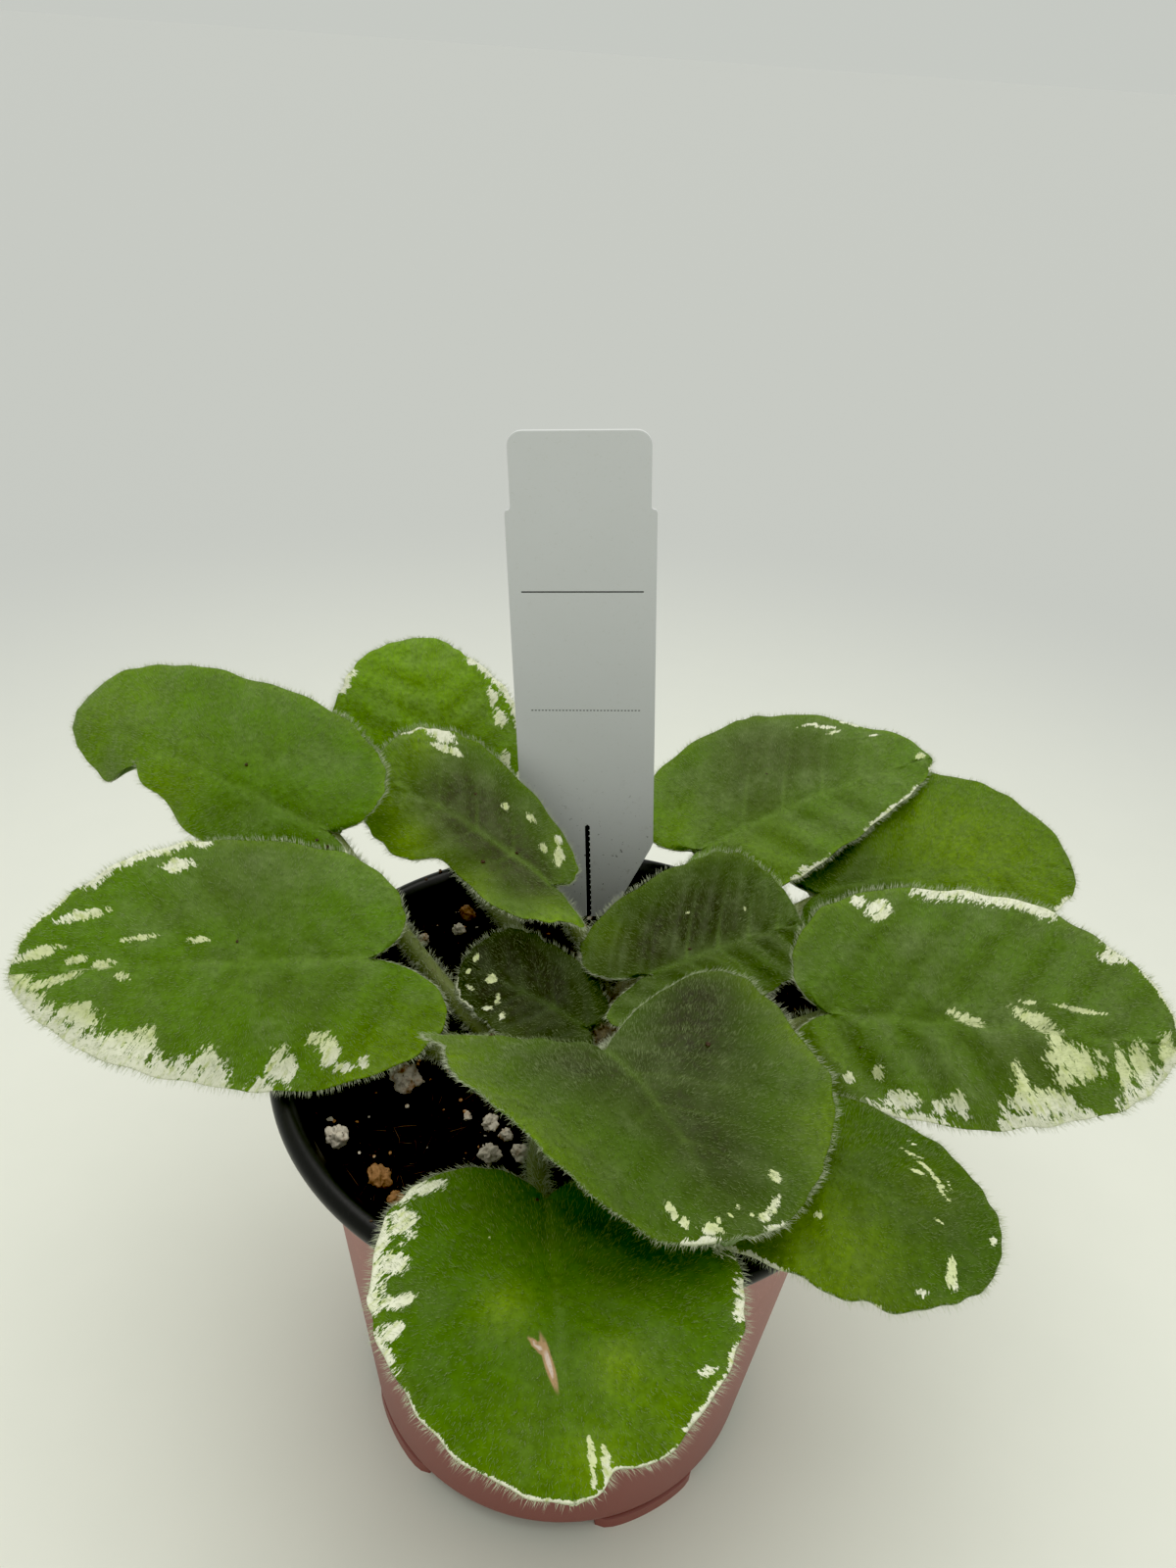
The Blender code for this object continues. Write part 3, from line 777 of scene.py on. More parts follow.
# %% Leaf table
# base is where the stem meets the blade, and tip its far end. roll turns the blade about the
# line between them. Pairs are the left and right half, looking from base to tip.
LEAVES = {
    "far_left": dict(
        base=(-46, 14, 119), tip=(-100, 43, 122), roll=44, width=(12, 19.5), widest=(0.37, 0.28),
        lobe=(7.5, 6), open=0.2, round=2.1, arch=5, cup=-5, twist=0),
    "left": dict(
        base=(-36, -4, 107), tip=(-90, -14, 107), roll=42, width=(20, 20.5), widest=(0.26, 0.43),
        lobe=(13, 7.5), open=0.14, round=1.65, arch=3, cup=-2, twist=-3),
    "back_left": dict(
        base=(-31, 50, 106), tip=(-39, 67, 131), roll=2, width=(20, 18), widest=(0.4, 0.32),
        lobe=(5, 5), open=0.25, round=2.2, arch=3, cup=-2, twist=1),
    "upper_left": dict(
        base=(-8, 18, 108), tip=(-43, 31, 120), roll=22, width=(11, 14), widest=(0.3, 0.5),
        lobe=(8, 4), open=0.22, round=2.4, arch=4, cup=-0.5, twist=-15),
    "centre_left": dict(
        base=(0, -2, 93.5), tip=(-22, 6, 98), roll=22, width=(8, 9.5), widest=(0.3, 0.43),
        lobe=(4, 3.5), open=0.25, round=2.3, arch=2, cup=1, twist=-6),
    "centre_right": dict(
        base=(11, 4, 101), tip=(38, 18, 103), roll=-22, width=(16.5, 11), widest=(0.38, 0.27),
        lobe=(10, 11), open=0.14, round=2.2, arch=2, cup=2, twist=9),
    "centre_front": dict(
        base=(3, -22, 108), tip=(20, -53, 107), roll=11, width=(26, 26), widest=(0.39, 0.27),
        lobe=(9, 10), open=0.55, round=2.2, arch=3, cup=5, twist=-7.5),
    "front": dict(
        base=(-4, -43, 100), tip=(2, -80, 95), roll=-3, width=(24.5, 23.5), widest=(0.38, 0.3),
        lobe=(5.5, 7), open=0.25, round=1.7, arch=3, cup=-2, twist=5),
    "front_right": dict(
        base=(26, -27, 97), tip=(57, -48, 98), roll=-3, width=(16, 17), widest=(0.34, 0.28),
        lobe=(5.5, 5.5), open=0.25, round=2.2, arch=3, cup=-3, twist=1.5),
    "right": dict(
        base=(39, -8, 106), tip=(94, -10, 106), roll=-42, width=(22, 15.5), widest=(0.33, 0.39),
        lobe=(7.5, 7), open=0.14, round=1.85, arch=3, cup=-2, twist=1),
    "back_right": dict(
        base=(21, 41, 102), tip=(67.5, 60, 115.5), roll=-21, width=(24, 14), widest=(0.37, 0.22),
        lobe=(9.5, 8), open=0.16, round=1.45, arch=3, cup=-1, twist=0),
    "far_right": dict(
        base=(43.5, 33.5, 99), tip=(93, 39.5, 104.5), roll=-18, width=(27, 15.5),
        widest=(0.39, 0.29), lobe=(8.5, 5.5), open=0.24, round=2, arch=3, cup=-1, twist=3),
}
# What each blade has of its own. quilt is how far the surface swells between side veins, in
# mm, and veins how many there are in a length. bites pull the edge in: half, place along the
# edge, reach along it, depth in mm. curls lift the surface: x, y, reach and height in mm.
SHAPES = {
    "far_left": dict(
        quilt=0.35, veins=5, bites=((0, 0.645, 0.04, 6.5), (0, 0.57, 0.06, 4.5)),
        curls=((50, 9, 9, -3),)),
    "left": dict(quilt=0.4, veins=6),
    "back_left": dict(quilt=0.3, veins=5, bites=((1, 0.76, 0.14, 3.2),)),
    "upper_left": dict(
        quilt=0.7, veins=5, bites=((0, 0.54, 0.05, 3.0), (0, 0.16, 0.06, -2.6)),
        curls=((-6, 7, 6, 2.5), (14, 11, 5, -2.5))),
    "centre_left": dict(quilt=0.6, veins=4),
    "centre_right": dict(quilt=1.2, veins=5),
    "centre_front": dict(quilt=0.55, veins=5, bites=((1, 0.21, 0.07, -7.5), (0, 0.29, 0.08, -2.4))),
    "front": dict(
        quilt=0.35, veins=5, bites=((0, 0.9, 0.035, 1.8), (1, 0.84, 0.03, 0.6)),
        curls=((16, -6, 7, 1.0), (24, 7, 6, 0.8), (33, 12, 5, -1.5))),
    "front_right": dict(quilt=0.4, veins=5, bites=((1, 0.67, 0.02, 1.0),)),
    "right": dict(quilt=1.1, veins=6),
    "back_right": dict(quilt=0.8, veins=6),
    "far_right": dict(quilt=0.8, veins=5),
}
print("leaves:", len(LEAVES))


# %% Outline of a blade
# The lobe's two handles reach back this many lobe lengths, and the outer one bulges a little.
LOBE_START = 1.45
LOBE_END = 1.35
LOBE_BULGE = 1.02
# Waves of the edge: depth in mm, how close they follow, and their shift from leaf to leaf.
SCALLOPS = ((0.16, 95, 1), (0.14, 61, 2), (0.22, 23, 3))
# Side veins lean forward by the first number, and arch by the second.
VEIN_LEAN = 0.55
VEIN_ARCH = 0.16
TWIST_CENTRE = 0.4  # where along its length a blade's twist is nothing
EDGE_WAVE = (0.7, 0.28)  # height in mm and closeness of the waves near the edge
FINE_WAVE = (0.25, 0.55)
MIDRIB_GROOVE = 0.4


def leaf_frame(leaf):
    """The blade's own axes: base, along the midrib, to the left, up, and its length, in mm."""
    base = np.array(leaf["base"], float)
    along = np.array(leaf["tip"], float) - base
    length = np.linalg.norm(along)
    along /= length
    left = unit(np.cross((0, 0, 1.0), along))
    turn = -math.radians(leaf["roll"])
    left = left * math.cos(turn) + np.cross(along, left) * math.sin(turn)
    return base, along, left, np.cross(along, left), length


def half_edge(leaf, shape, side, length, share):
    """One half's edge from the base (0) round the lobe to the tip (1)."""
    width, lobe = leaf["width"][side], leaf["lobe"][side]
    widest = leaf["widest"][side] * length
    t = np.clip(share * 2, 0, 1)
    weights = ((1 - t) ** 3, 3 * (1 - t) ** 2 * t, 3 * (1 - t) * t**2, t**3)
    handles = ((0, 0), (-LOBE_START * lobe, leaf["open"] * width),
               (-LOBE_END * lobe, LOBE_BULGE * width), (widest, width))
    x = sum(weight * handle[0] for weight, handle in zip(weights, handles))
    y = sum(weight * handle[1] for weight, handle in zip(weights, handles))
    turn = math.pi * (1 - share)
    power = 2 / leaf["round"]
    far = share >= 0.5
    x = np.where(far, widest + (length - widest) * np.clip(np.cos(turn), 0, 1) ** power, x)
    y = np.where(far, width * np.clip(np.sin(turn), 0, 1) ** power, y)
    calm = np.sin(np.pi * share) ** 0.5
    phase = sum(leaf["base"]) + 3 * side
    pull = calm * sum(depth * np.sin(share * pace + shift * phase)
                      for depth, pace, shift in SCALLOPS)
    for bite_side, place, reach, depth in shape.get("bites", ()):
        if bite_side == side:
            pull = pull + depth * np.exp(-(((share - place) / reach) ** 2))
    inward = unit(np.stack([np.clip(x, 0.15 * length, 0.75 * length) - x, -y], -1))
    return x + inward[..., 0] * pull, y + inward[..., 1] * pull


def ripple(x, y, scale, seed):
    """A smooth uneven wave between about -1 and 1."""
    dice = np.random.default_rng(seed)
    total = 0
    for _ in range(6):
        turn, phase, stretch = dice.random(3) * (math.tau, math.tau, 1)
        wave = scale * (0.7 + 0.8 * stretch)
        total = total + np.sin((x * math.cos(turn) + y * math.sin(turn)) * wave + phase)
    return total / 3


def vein_place(leaf, shape, x, y, length):
    """Which side vein a point lies on: whole numbers are veins. They arch towards the tip."""
    reach = np.abs(y)
    wide = max(leaf["width"])
    return (x - VEIN_LEAN * reach - VEIN_ARCH * reach**2 / wide) / length * shape["veins"]


def blade_height(leaf, shape, x, y, length, rim):
    """The blade's middle surface above its flat plane. rim is 0 at the midrib and 1 at the edge."""
    along, across = x / length, y / max(leaf["width"])
    bend = 4 * along * (1 - along) * np.where(along < 0, 0.6, 1)
    rise = leaf["arch"] * bend + leaf["cup"] * across**2
    rise = rise + leaf["twist"] * (along - TWIST_CENTRE) * across
    for place_x, place_y, reach, height in shape.get("curls", ()):
        rise = rise + height * np.exp(-((x - place_x) ** 2 + (y - place_y) ** 2) / reach**2)
    seed = int(abs(sum(leaf["tip"])) * 7)
    rise = rise + EDGE_WAVE[0] * ripple(x, y, EDGE_WAVE[1], seed) * rim**2
    rise = rise + FINE_WAVE[0] * ripple(x, y, FINE_WAVE[1], seed + 1)
    between = np.cos(math.tau * vein_place(leaf, shape, x, y, length))
    fade = np.clip(rim * 6, 0, 1) * np.clip((1 - rim) * 3, 0, 1)
    rise = rise - shape["quilt"] * 0.6 * between * fade
    groove = np.exp(-((y / 1.1) ** 2)) * np.clip(1.1 - along, 0, 1) * (along > -0.02)
    return rise - MIDRIB_GROOVE * groove


print("outline test, front leaf length:", round(leaf_frame(LEAVES["front"])[4], 1))

# %% [markdown]
# ## Leaves: the colours' places
# Cream edges and splashes, bronze middles and yellow-green margins lie at their own places on
# each leaf. They could be left to noise alone, but a variegated leaf isn't even: the tissue
# turns cream in patches that follow the veins. So each leaf lists its patches in millimetres
# from its stem, they are stored on the vertices as soft fields, and the material's noise
# frays their borders.

# %% Patches of colour
# margins: half, start and end along the edge, width in mm. splashes: x, y, reach along, reach
# across, turn in degrees. bronze and yellow: x, y, reach, strength. tint: 0 soft green to 1 vivid.
# tone: how light the leaf is. ribbing: how pale its side veins are. scars: as splashes.
# yellow is the leaf's own yellow-green, and on front_right, far_right and centre_front's edges it
# is also painted glow where light shines through thin, backlit tissue. Where a leaf lies in the
# shadow of one above it, some tones and bronze spots carry painted shade, as noted at those leaves.
LOOKS = {
    "far_left": dict(
        tint=0.6, tone=1.15, margins=((0, 0.05, 0.33, 0.4),), splashes=(),
        bronze=((44, 8, 4, 0.4),), yellow=((52, 0, 16, 0.4), (30, 7, 8, 0.5))),
    # The first bronze spot, on left's right half, is painted shadow cast by far_left.
    "left": dict(
        tint=0.55, tone=1.25, margins=((0, 0.56, 1.0, 2.9), (0, 0.49, 0.56, 1.6),
        (1, 0.5, 0.76, 1.1), (1, 0.76, 1, 0.4)), splashes=((44, -8.5, 4, 0.9, 8),
        (50, -3, 3.5, 0.8, 12), (48, 1.5, 5, 0.7, 14), (44, 7, 3.6, 1.9, 0), (38, 12, 3.4, 2.1, 0),
        (34.5, -4.4, 2.6, 0.5, 4), (25.6, -3.7, 1.8, 0.35, 0), (34, 12, 1.8, 3, -10),
        (24, 16, 2, 3.2, 10), (13.5, 16.5, 2, 3, 0), (6, 14.3, 1.6, 2.4, 10), (8.5, 12.3, 1, 1, 0),
        (4, 17, 1.1, 0.9, 0), (1, 16.5, 0.8, 0.9, 0), (29.5, -16, 2.4, 1.1, 0),
        (44, -1.6, 1.8, 0.7, 0), (40, -0.6, 1.5, 0.7, 0), (37, 1.5, 1, 0.8, 0)),
        bronze=((18, -14, 12, 0.45), (8, 5, 8, 0.2)), yellow=((-8, 14, 8, 0.5), (0, 19, 7, 0.5))),
    "back_left": dict(
        tint=0.75, tone=1.45, margins=((1, 0.45, 0.78, 1.3), (0, 0.64, 0.76, 1.0),
        (1, 0.3, 0.45, 0.6)), splashes=((12, -13.5, 2, 1.4, 0), (17, -12.5, 2, 1, 0),
        (3, -13, 2.5, 1, 0)), bronze=((8, -6, 9, 0.25),), yellow=((20, 0, 22, 0.45),)),
    "upper_left": dict(
        tint=0.4, tone=1.25, margins=((1, 0.68, 0.85, 0.4),), splashes=((31, -11.3, 3, 1.3, 0),
        (28, -9.6, 3, 0.7, 10), (1.5, -6.5, 1, 2.2, 15), (3.2, -9.4, 0.9, 1, 0),
        (4.5, -5.5, 0.7, 1, 0), (14, -7, 0.6, 0.8, 0), (9, -8.5, 1, 0.8, 0)),
        bronze=((13, -1, 11, 0.8), (23, -3, 9, 0.65), (2, 2, 7, 0.7)), yellow=((24, 8, 6, 1),
        (10, 10.5, 4.5, 1), (35, 4, 6, 0.9), (-6, 8, 6, 0.8), (33, -9, 5, 0.7), (2, -9, 4, 0.4))),
    "centre_left": dict(
        tint=0.1, tone=0.5, margins=((0, 0.7, 0.95, 0.25),), splashes=((21.8, -1.8, 0.5, 0.7, 0),
        (17.8, 0.4, 0.9, 0.8, 20), (15, 3.2, 0.5, 0.8, 0), (13, 5.5, 0.5, 0.7, 0),
        (20.5, 3, 0.7, 0.35, 0), (22, 0.8, 0.4, 0.6, 0), (16, 5.2, 0.9, 0.3, 30)),
        bronze=((9, 0, 11, 1), (18, -2, 8, 0.9)), yellow=((12, 6.5, 4.5, 1),)),
    "centre_right": dict(
        tint=0.15, tone=0.85, ribbing=1.2, margins=(), splashes=((20, 5, 0.4, 0.5, 0),
        (10, 8, 0.4, 0.3, 0)), bronze=((3, 5, 8, 0.9), (14, 8, 8, 0.7), (20, 2, 8, 0.4),
        (-8, 5, 6, 0.4)), yellow=((-3, 9, 4, 0.5), (10, -8, 6, 0.4))),
    "centre_front": dict(
        tint=0.35, tone=0.82, margins=((1, 0.9, 0.99, 0.6), (0, 0.88, 0.95, 0.6)),
        splashes=((28.8, 10.9, 0.9, 0.9, 0), (32.4, 8.6, 0.7, 1.5, 30), (33.3, 6.6, 0.6, 1, 10),
        (31.2, -7.6, 1.3, 0.6, 20), (32.3, -6.2, 0.8, 0.6, 0), (33.9, -2.9, 0.6, 1.9, -8),
        (33, -1.2, 0.5, 0.6, 0), (31.5, 3.2, 0.35, 0.5, 0), (32.4, 1.2, 0.3, 0.35, 0),
        (32.8, 4.6, 0.3, 0.35, 0)), bronze=((3, -7, 8, 0.8), (5, 11, 11, 0.9), (-4, 18, 7, 0.7),
        (25, 4, 9, 0.7), (15, 0, 8, 0.4)), yellow=((-14, -17, 8, 0.8), (-2, -25, 6, 0.9),
        (10, -26, 6, 0.8), (20, -22, 6, 0.5), (12, 27, 5, 0.8), (25, 21, 5, 0.6), (0, 27, 5, 0.6))),
    "front": dict(
        tint=0.9, tone=0.9, margins=((1, 0.27, 0.38, 1.1), (1, 0.38, 0.56, 1.5),
        (1, 0.56, 0.66, 0.9), (1, 0.66, 1, 0.22), (0, 0.38, 0.48, 1.7), (0, 0.48, 0.62, 1.0),
        (0, 0.62, 0.8, 0.5), (0, 0.8, 1, 0.2)), splashes=((-3.5, -16, 1.3, 2.4, 0),
        (2.5, -19.5, 2.5, 2, 0), (8, -20.8, 1.4, 2, 0), (13, -20, 1, 2.4, 0),
        (17, -20.5, 1.2, 1.3, 0), (34.5, 2.3, 2.5, 0.4, 0), (35, 3.9, 2, 0.5, 0),
        (8, 22, 2.6, 1.4, 0), (26, 17.5, 0.7, 1.1, 0), (6, -8, 0.6, 0.3, 40)), bronze=(),
        yellow=((16.4, -6.6, 3.4, 0.9), (24.8, 6.5, 3.2, 0.9), (35, 3, 4, 0.9), (30, 12, 7, 0.4),
        (33, -6, 8, 0.3)), scars=((23.5, -1.7, 3.3, 0.5, 12), (21.5, -3.0, 1.4, 0.35, 40))),
    "front_right": dict(
        tint=0.75, tone=0.7, margins=((1, 0.3, 0.55, 0.4),), splashes=((24.5, 8, 3, 0.35, -15),
        (27, 6.4, 1.8, 0.3, -40), (21, 9.5, 1.6, 0.3, 0), (23, 6.6, 1.2, 0.25, 20),
        (27.5, 8.3, 1, 0.25, -50), (29, 1, 0.7, 0.25, 0), (31, -9.5, 0.6, 0.5, 0),
        (35.5, 4, 0.4, 0.9, 0), (27, -14, 0.6, 0.4, 0), (20, 11.6, 0.5, 0.3, 0),
        (33, -4.8, 0.7, 2.4, 25), (15, -8, 0.6, 0.4, 0)), bronze=((26, 4, 9, 0.3),),
        yellow=((10, -13, 11, 1), (22, -12, 8, 0.8), (4, 4, 9, 0.6), (25, 6, 5, 0.5))),
    "right": dict(
        tint=0.25, tone=1.08, ribbing=0.8, margins=((1, 0.54, 0.72, 2.3), (1, 0.74, 1, 1.9),
        (0, 0.45, 0.68, 1.5), (0, 0.73, 0.8, 1.1), (1, 0.38, 0.5, 0.9), (0, 0.8, 1, 0.4)),
        splashes=((37.4, -4.2, 4.4, 2.6, -12), (31.5, 1.5, 4, 1.1, -24), (34.5, -1.6, 1.2, 2.6, 25),
        (35.5, -6.6, 1.6, 1.6, 0), (29, -9, 1.2, 3.6, 15), (32.5, -11, 5.5, 2.2, 0),
        (20, -12.4, 0.9, 2.6, 20), (17.1, -12.8, 1.1, 1.3, 0), (11, -12.3, 2.6, 1.4, 0),
        (20.5, 0.9, 2.6, 0.8, -20), (45, -4.5, 1.1, 4, 15), (48.4, -3.5, 1.6, 3.4, 15),
        (52.4, -0.8, 1.6, 2.6, 0), (7.3, -8.6, 0.7, 1.2, 15), (6.9, 17.3, 2.2, 1.6, 20),
        (4, 18.6, 1, 1.2, 0), (38, 4, 4.5, 0.35, -3), (30, 4.4, 1.5, 0.3, 0),
        (3, -9.7, 0.8, 0.8, 0), (44, 13, 2.6, 1, 0)), bronze=((30, -5, 7, 0.45), (14, 6, 10, 0.15)),
        yellow=((-2, -9, 7, 0.35),)),
    "back_right": dict(
        tint=0.3, tone=1.24, ribbing=0.8, margins=((0, 0.72, 0.8, 0.5), (1, 0.5, 0.62, 0.6),
        (1, 0.68, 0.86, 0.5), (1, 0.9, 0.96, 0.4)), splashes=((35, 14.5, 2.2, 0.5, -20),
        (32, 16, 2, 0.35, -10), (36, 12.6, 1.4, 0.35, 0), (49.5, 1, 1.3, 0.6, 20),
        (39.5, -8, 1.8, 0.5, 10), (15, -13, 1.0, 0.7, 0), (43, 9, 1.2, 0.3, -20)),
        bronze=((18, 15, 12, 0.6), (30, 8, 10, 0.4), (12, 3, 9, 0.3)), yellow=((-4, 6, 7, 0.3),
        (10, -8, 8, 0.3))),
    # far_right lies under back_right and right: its low tone and the bronze at its base are painted
    # shade.
    "far_right": dict(
        tint=0.95, tone=0.83, ribbing=0.9, margins=((1, 0.78, 0.88, 0.6),), splashes=(),
        bronze=((6, 2, 11, 0.55),), yellow=((36, 0, 20, 0.85), (22, 12, 14, 0.5))),
}


MARGIN_FADE = 0.03


def oval(x, y, patch):
    """The squared distance from a turned patch's middle: 1 at its reach and at its width."""
    place_x, place_y, reach, width, turn = patch
    angle = math.radians(turn)
    dx, dy = x - place_x, y - place_y
    u = (dx * math.cos(angle) + dy * math.sin(angle)) / reach
    v = (dy * math.cos(angle) - dx * math.sin(angle)) / width
    return u * u + v * v


def cream_field(look, x, y, side_edges, shares, across):
    """How surely a point is cream: 1 in the middle of a patch, 0.5 at its border, 0 outside."""
    field = np.zeros_like(x)
    for side, start, end, width in look["margins"]:
        sign = (1, -1)[side]
        gap = np.hypot(side_edges[side][0] - x, side_edges[side][1] - sign * y)
        ends = np.clip((shares - start) / MARGIN_FADE, 0, 1)
        if end < 1:
            ends = ends * np.clip((end - shares) / MARGIN_FADE, 0, 1)
        near = np.clip(1.15 - 0.65 * gap / width, 0, 1) * ends * (sign * across > 0)
        field = np.maximum(field, near)
    for patch in look["splashes"]:
        field = np.maximum(field, np.clip(1 - 0.5 * oval(x, y, patch), 0, 1))
    return field


def soft_spots(spots, x, y):
    """Rounded patches that fade out, added together, at most 1."""
    total = np.zeros_like(x)
    for place_x, place_y, reach, strength in spots:
        total += strength * np.exp(-((x - place_x) ** 2 + (y - place_y) ** 2) / reach**2)
    return np.clip(total, 0, 1)


print("cream patches:", sum(len(look["splashes"]) for look in LOOKS.values()))

# %% [markdown]
# ## Leaves: the tissue
# The tissue is a soft green with darker and lighter cells and pale ribs. A faint sheen stands
# for the finest down, and the longer hairs are modelled. The cream mask is the soft field plus
# noise that is stretched along the side veins, cut off sharply, as the real patches have
# jagged borders.

# %% Group: splash
splash_group, dials, result = empty_group(
    "splash",
    [("Flow", "NodeSocketVector", None), ("Field", "NodeSocketFloat", 0.0)],
    [("Mask", "NodeSocketFloat"), ("Heart", "NodeSocketFloat")],
)
tree = splash_group
flow = dials.outputs["Flow"]
streaks = arithmetic(tree, "SUBTRACT", cloud(tree, flow, 0.75, 4, 0.65), 0.5)
flakes = arithmetic(tree, "SUBTRACT", cloud(tree, flow, 1.9, 2, 0.6), 0.5)
broken = arithmetic(tree, "SUBTRACT", cloud(tree, flow, 0.34, 2, 0.5), 0.5)
total = linear(tree, broken, 1.5, dials.outputs["Field"])
total = linear(tree, streaks, 1.9, total)
total = linear(tree, flakes, 1.6, total)
allowed = stepped(tree, dials.outputs["Field"], 0.02, 0.22)
mask = times(tree, stepped(tree, total, 0.485, 0.515), allowed)
joined(tree, mask, result.inputs["Mask"])
heart = stepped(tree, cloud(tree, flow, 0.42, 3, 0.6), 0.28, 0.5)
joined(tree, heart, result.inputs["Heart"])
print("group:", splash_group.name)

# %% Group: tissue
tissue_group, dials, result = empty_group(
    "tissue",
    [
        ("Vector", "NodeSocketVector", None),
        ("Tint", "NodeSocketFloat", 0.5),
        ("Tone", "NodeSocketFloat", 1.0),
        ("Bronze", "NodeSocketFloat", 0.0),
        ("Yellow", "NodeSocketFloat", 0.0),
        ("Rib", "NodeSocketFloat", 0.0),
    ],
    [("Color", "NodeSocketColor"), ("Height", "NodeSocketFloat")],
)
tree = tissue_group
vector = dials.outputs["Vector"]
broad = cloud(tree, vector, 0.11, 3)
cells = cloud(tree, vector, 0.9, 3, 0.65)
specks = cloud(tree, vector, 3.2, 2, 0.6)
tint = arithmetic(tree, "ADD", dials.outputs["Tint"], linear(tree, broad, 1.1, -0.55))
tint = arithmetic(tree, "MAXIMUM", arithmetic(tree, "MINIMUM", tint, 1.0), 0.0)
green = blended(tree, tint, (0.085, 0.142, 0.02), (0.062, 0.14, 0.001))
# Yellow-green: the leaf's own colour, and also painted glow where light shines through thin,
# backlit tissue.
yellow = times(tree, dials.outputs["Yellow"], linear(tree, cells, 0.8, 0.45))
yellow = arithmetic(tree, "MINIMUM", yellow, 1.0)
green = blended(tree, yellow, green, (0.15, 0.25, 0.008))
bronze = times(tree, dials.outputs["Bronze"], linear(tree, cells, 1.1, 0.3))
bronze = arithmetic(tree, "MINIMUM", bronze, 0.92)
green = blended(tree, bronze, green, (0.034, 0.031, 0.017))
# Grey-green patches: the pale hairs' own colour, and a painted sheen where they catch the light;
# vivid leaves get less.
hairs_and_sheen = stepped(tree, cloud(tree, vector, 0.16, 4, 0.6), 0.42, 0.72)
hairs_and_sheen = times(tree, hairs_and_sheen, linear(tree, cells, 0.9, 0.1))
dull = linear(tree, dials.outputs["Tint"], -0.75, 1.0)
hairs_and_sheen = times(tree, hairs_and_sheen, dull)
green = blended(tree, hairs_and_sheen, green, (0.13, 0.175, 0.062))
green = blended(tree, times(tree, dials.outputs["Rib"], 0.55), green, (0.12, 0.2, 0.03))
shade = linear(tree, cells, 0.8, 0.3)
shade = linear(tree, specks, 0.3, shade)
uneven = cloud(tree, vector, 0.22, 3, 0.6)
shade = linear(tree, uneven, 0.5, shade)
# Tone sets each leaf's lightness; for some leaves it also holds painted shade.
shade = times(tree, shade, dials.outputs["Tone"])
grey = tree.nodes.new("ShaderNodeCombineColor")
for channel in range(3):
    joined(tree, shade, grey.inputs[channel])
joined(tree, blended(tree, 1.0, green, grey.outputs[0], "MULTIPLY"),
       result.inputs["Color"])
pebbles = add_node(tree, "ShaderNodeTexVoronoi", Scale=0.85)
pebbles.feature = "SMOOTH_F1"
joined(tree, vector, pebbles.inputs["Vector"])
domes = linear(tree, pebbles.outputs["Distance"], -0.55, 0.5)
joined(tree, linear(tree, cells, 0.5, domes), result.inputs["Height"])
print("group:", tissue_group.name)

# %% Leaf finish
leaf_green, tree, shader = new_finish("leaf_green", 0.6, Specular_IOR_Level=0.16, Sheen_Weight=0.04,
                                      Sheen_Roughness=0.45, Sheen_Tint=(0.7, 0.95, 0.5, 1))
place = millimetres(tree)
dials = ("Tint", "Tone", "Bronze", "Yellow", "Rib")
fields = {dial: attribute(tree, dial.lower()) for dial in dials}
tissue = placed(tree, tissue_group, Vector=place, **fields)
splash = placed(tree, splash_group, Flow=attribute(tree, "flow", "Vector"),
                Field=attribute(tree, "cream"))
pale_cream = blended(tree, times(tree, attribute(tree, "inner"), 0.8),
                     (0.83, 0.84, 0.66), (0.64, 0.7, 0.34))
cream = blended(tree, splash.outputs["Heart"], (0.56, 0.63, 0.26), pale_cream)
above = blended(tree, splash.outputs["Mask"], tissue.outputs["Color"], cream)
scar = attribute(tree, "scar")
above = blended(tree, stepped(tree, scar, 0.2, 0.5), above, (0.42, 0.27, 0.14))
above = blended(tree, stepped(tree, scar, 0.6, 0.8), above, (0.62, 0.5, 0.42))
pale_under = blended(tree, attribute(tree, "rib"), (0.16, 0.24, 0.085), (0.27, 0.33, 0.14))
pale_under = blended(tree, splash.outputs["Mask"], pale_under, (0.6, 0.64, 0.42))
joined(tree, blended(tree, attribute(tree, "under"), above, pale_under),
       shader.inputs["Base Color"])
joined(tree, linear(tree, tissue.outputs["Height"], 0.25, 0.45), shader.inputs["Roughness"])
embossed(tree, shader, tissue.outputs["Height"], 0.75, 0.45)
print("finish:", leaf_green.name)

# %% Blade builder
ROWS = 120
COLUMNS = 92
THICK = 1.2
ROW_SPREAD = 1.8  # crowds the middle's rows towards the stem
FLOW_TURN = (0.62, 0.78)  # the cosine and sine of the side veins' slant
FLOW_SCALE = (0.8, 2.6)  # along and across the side veins


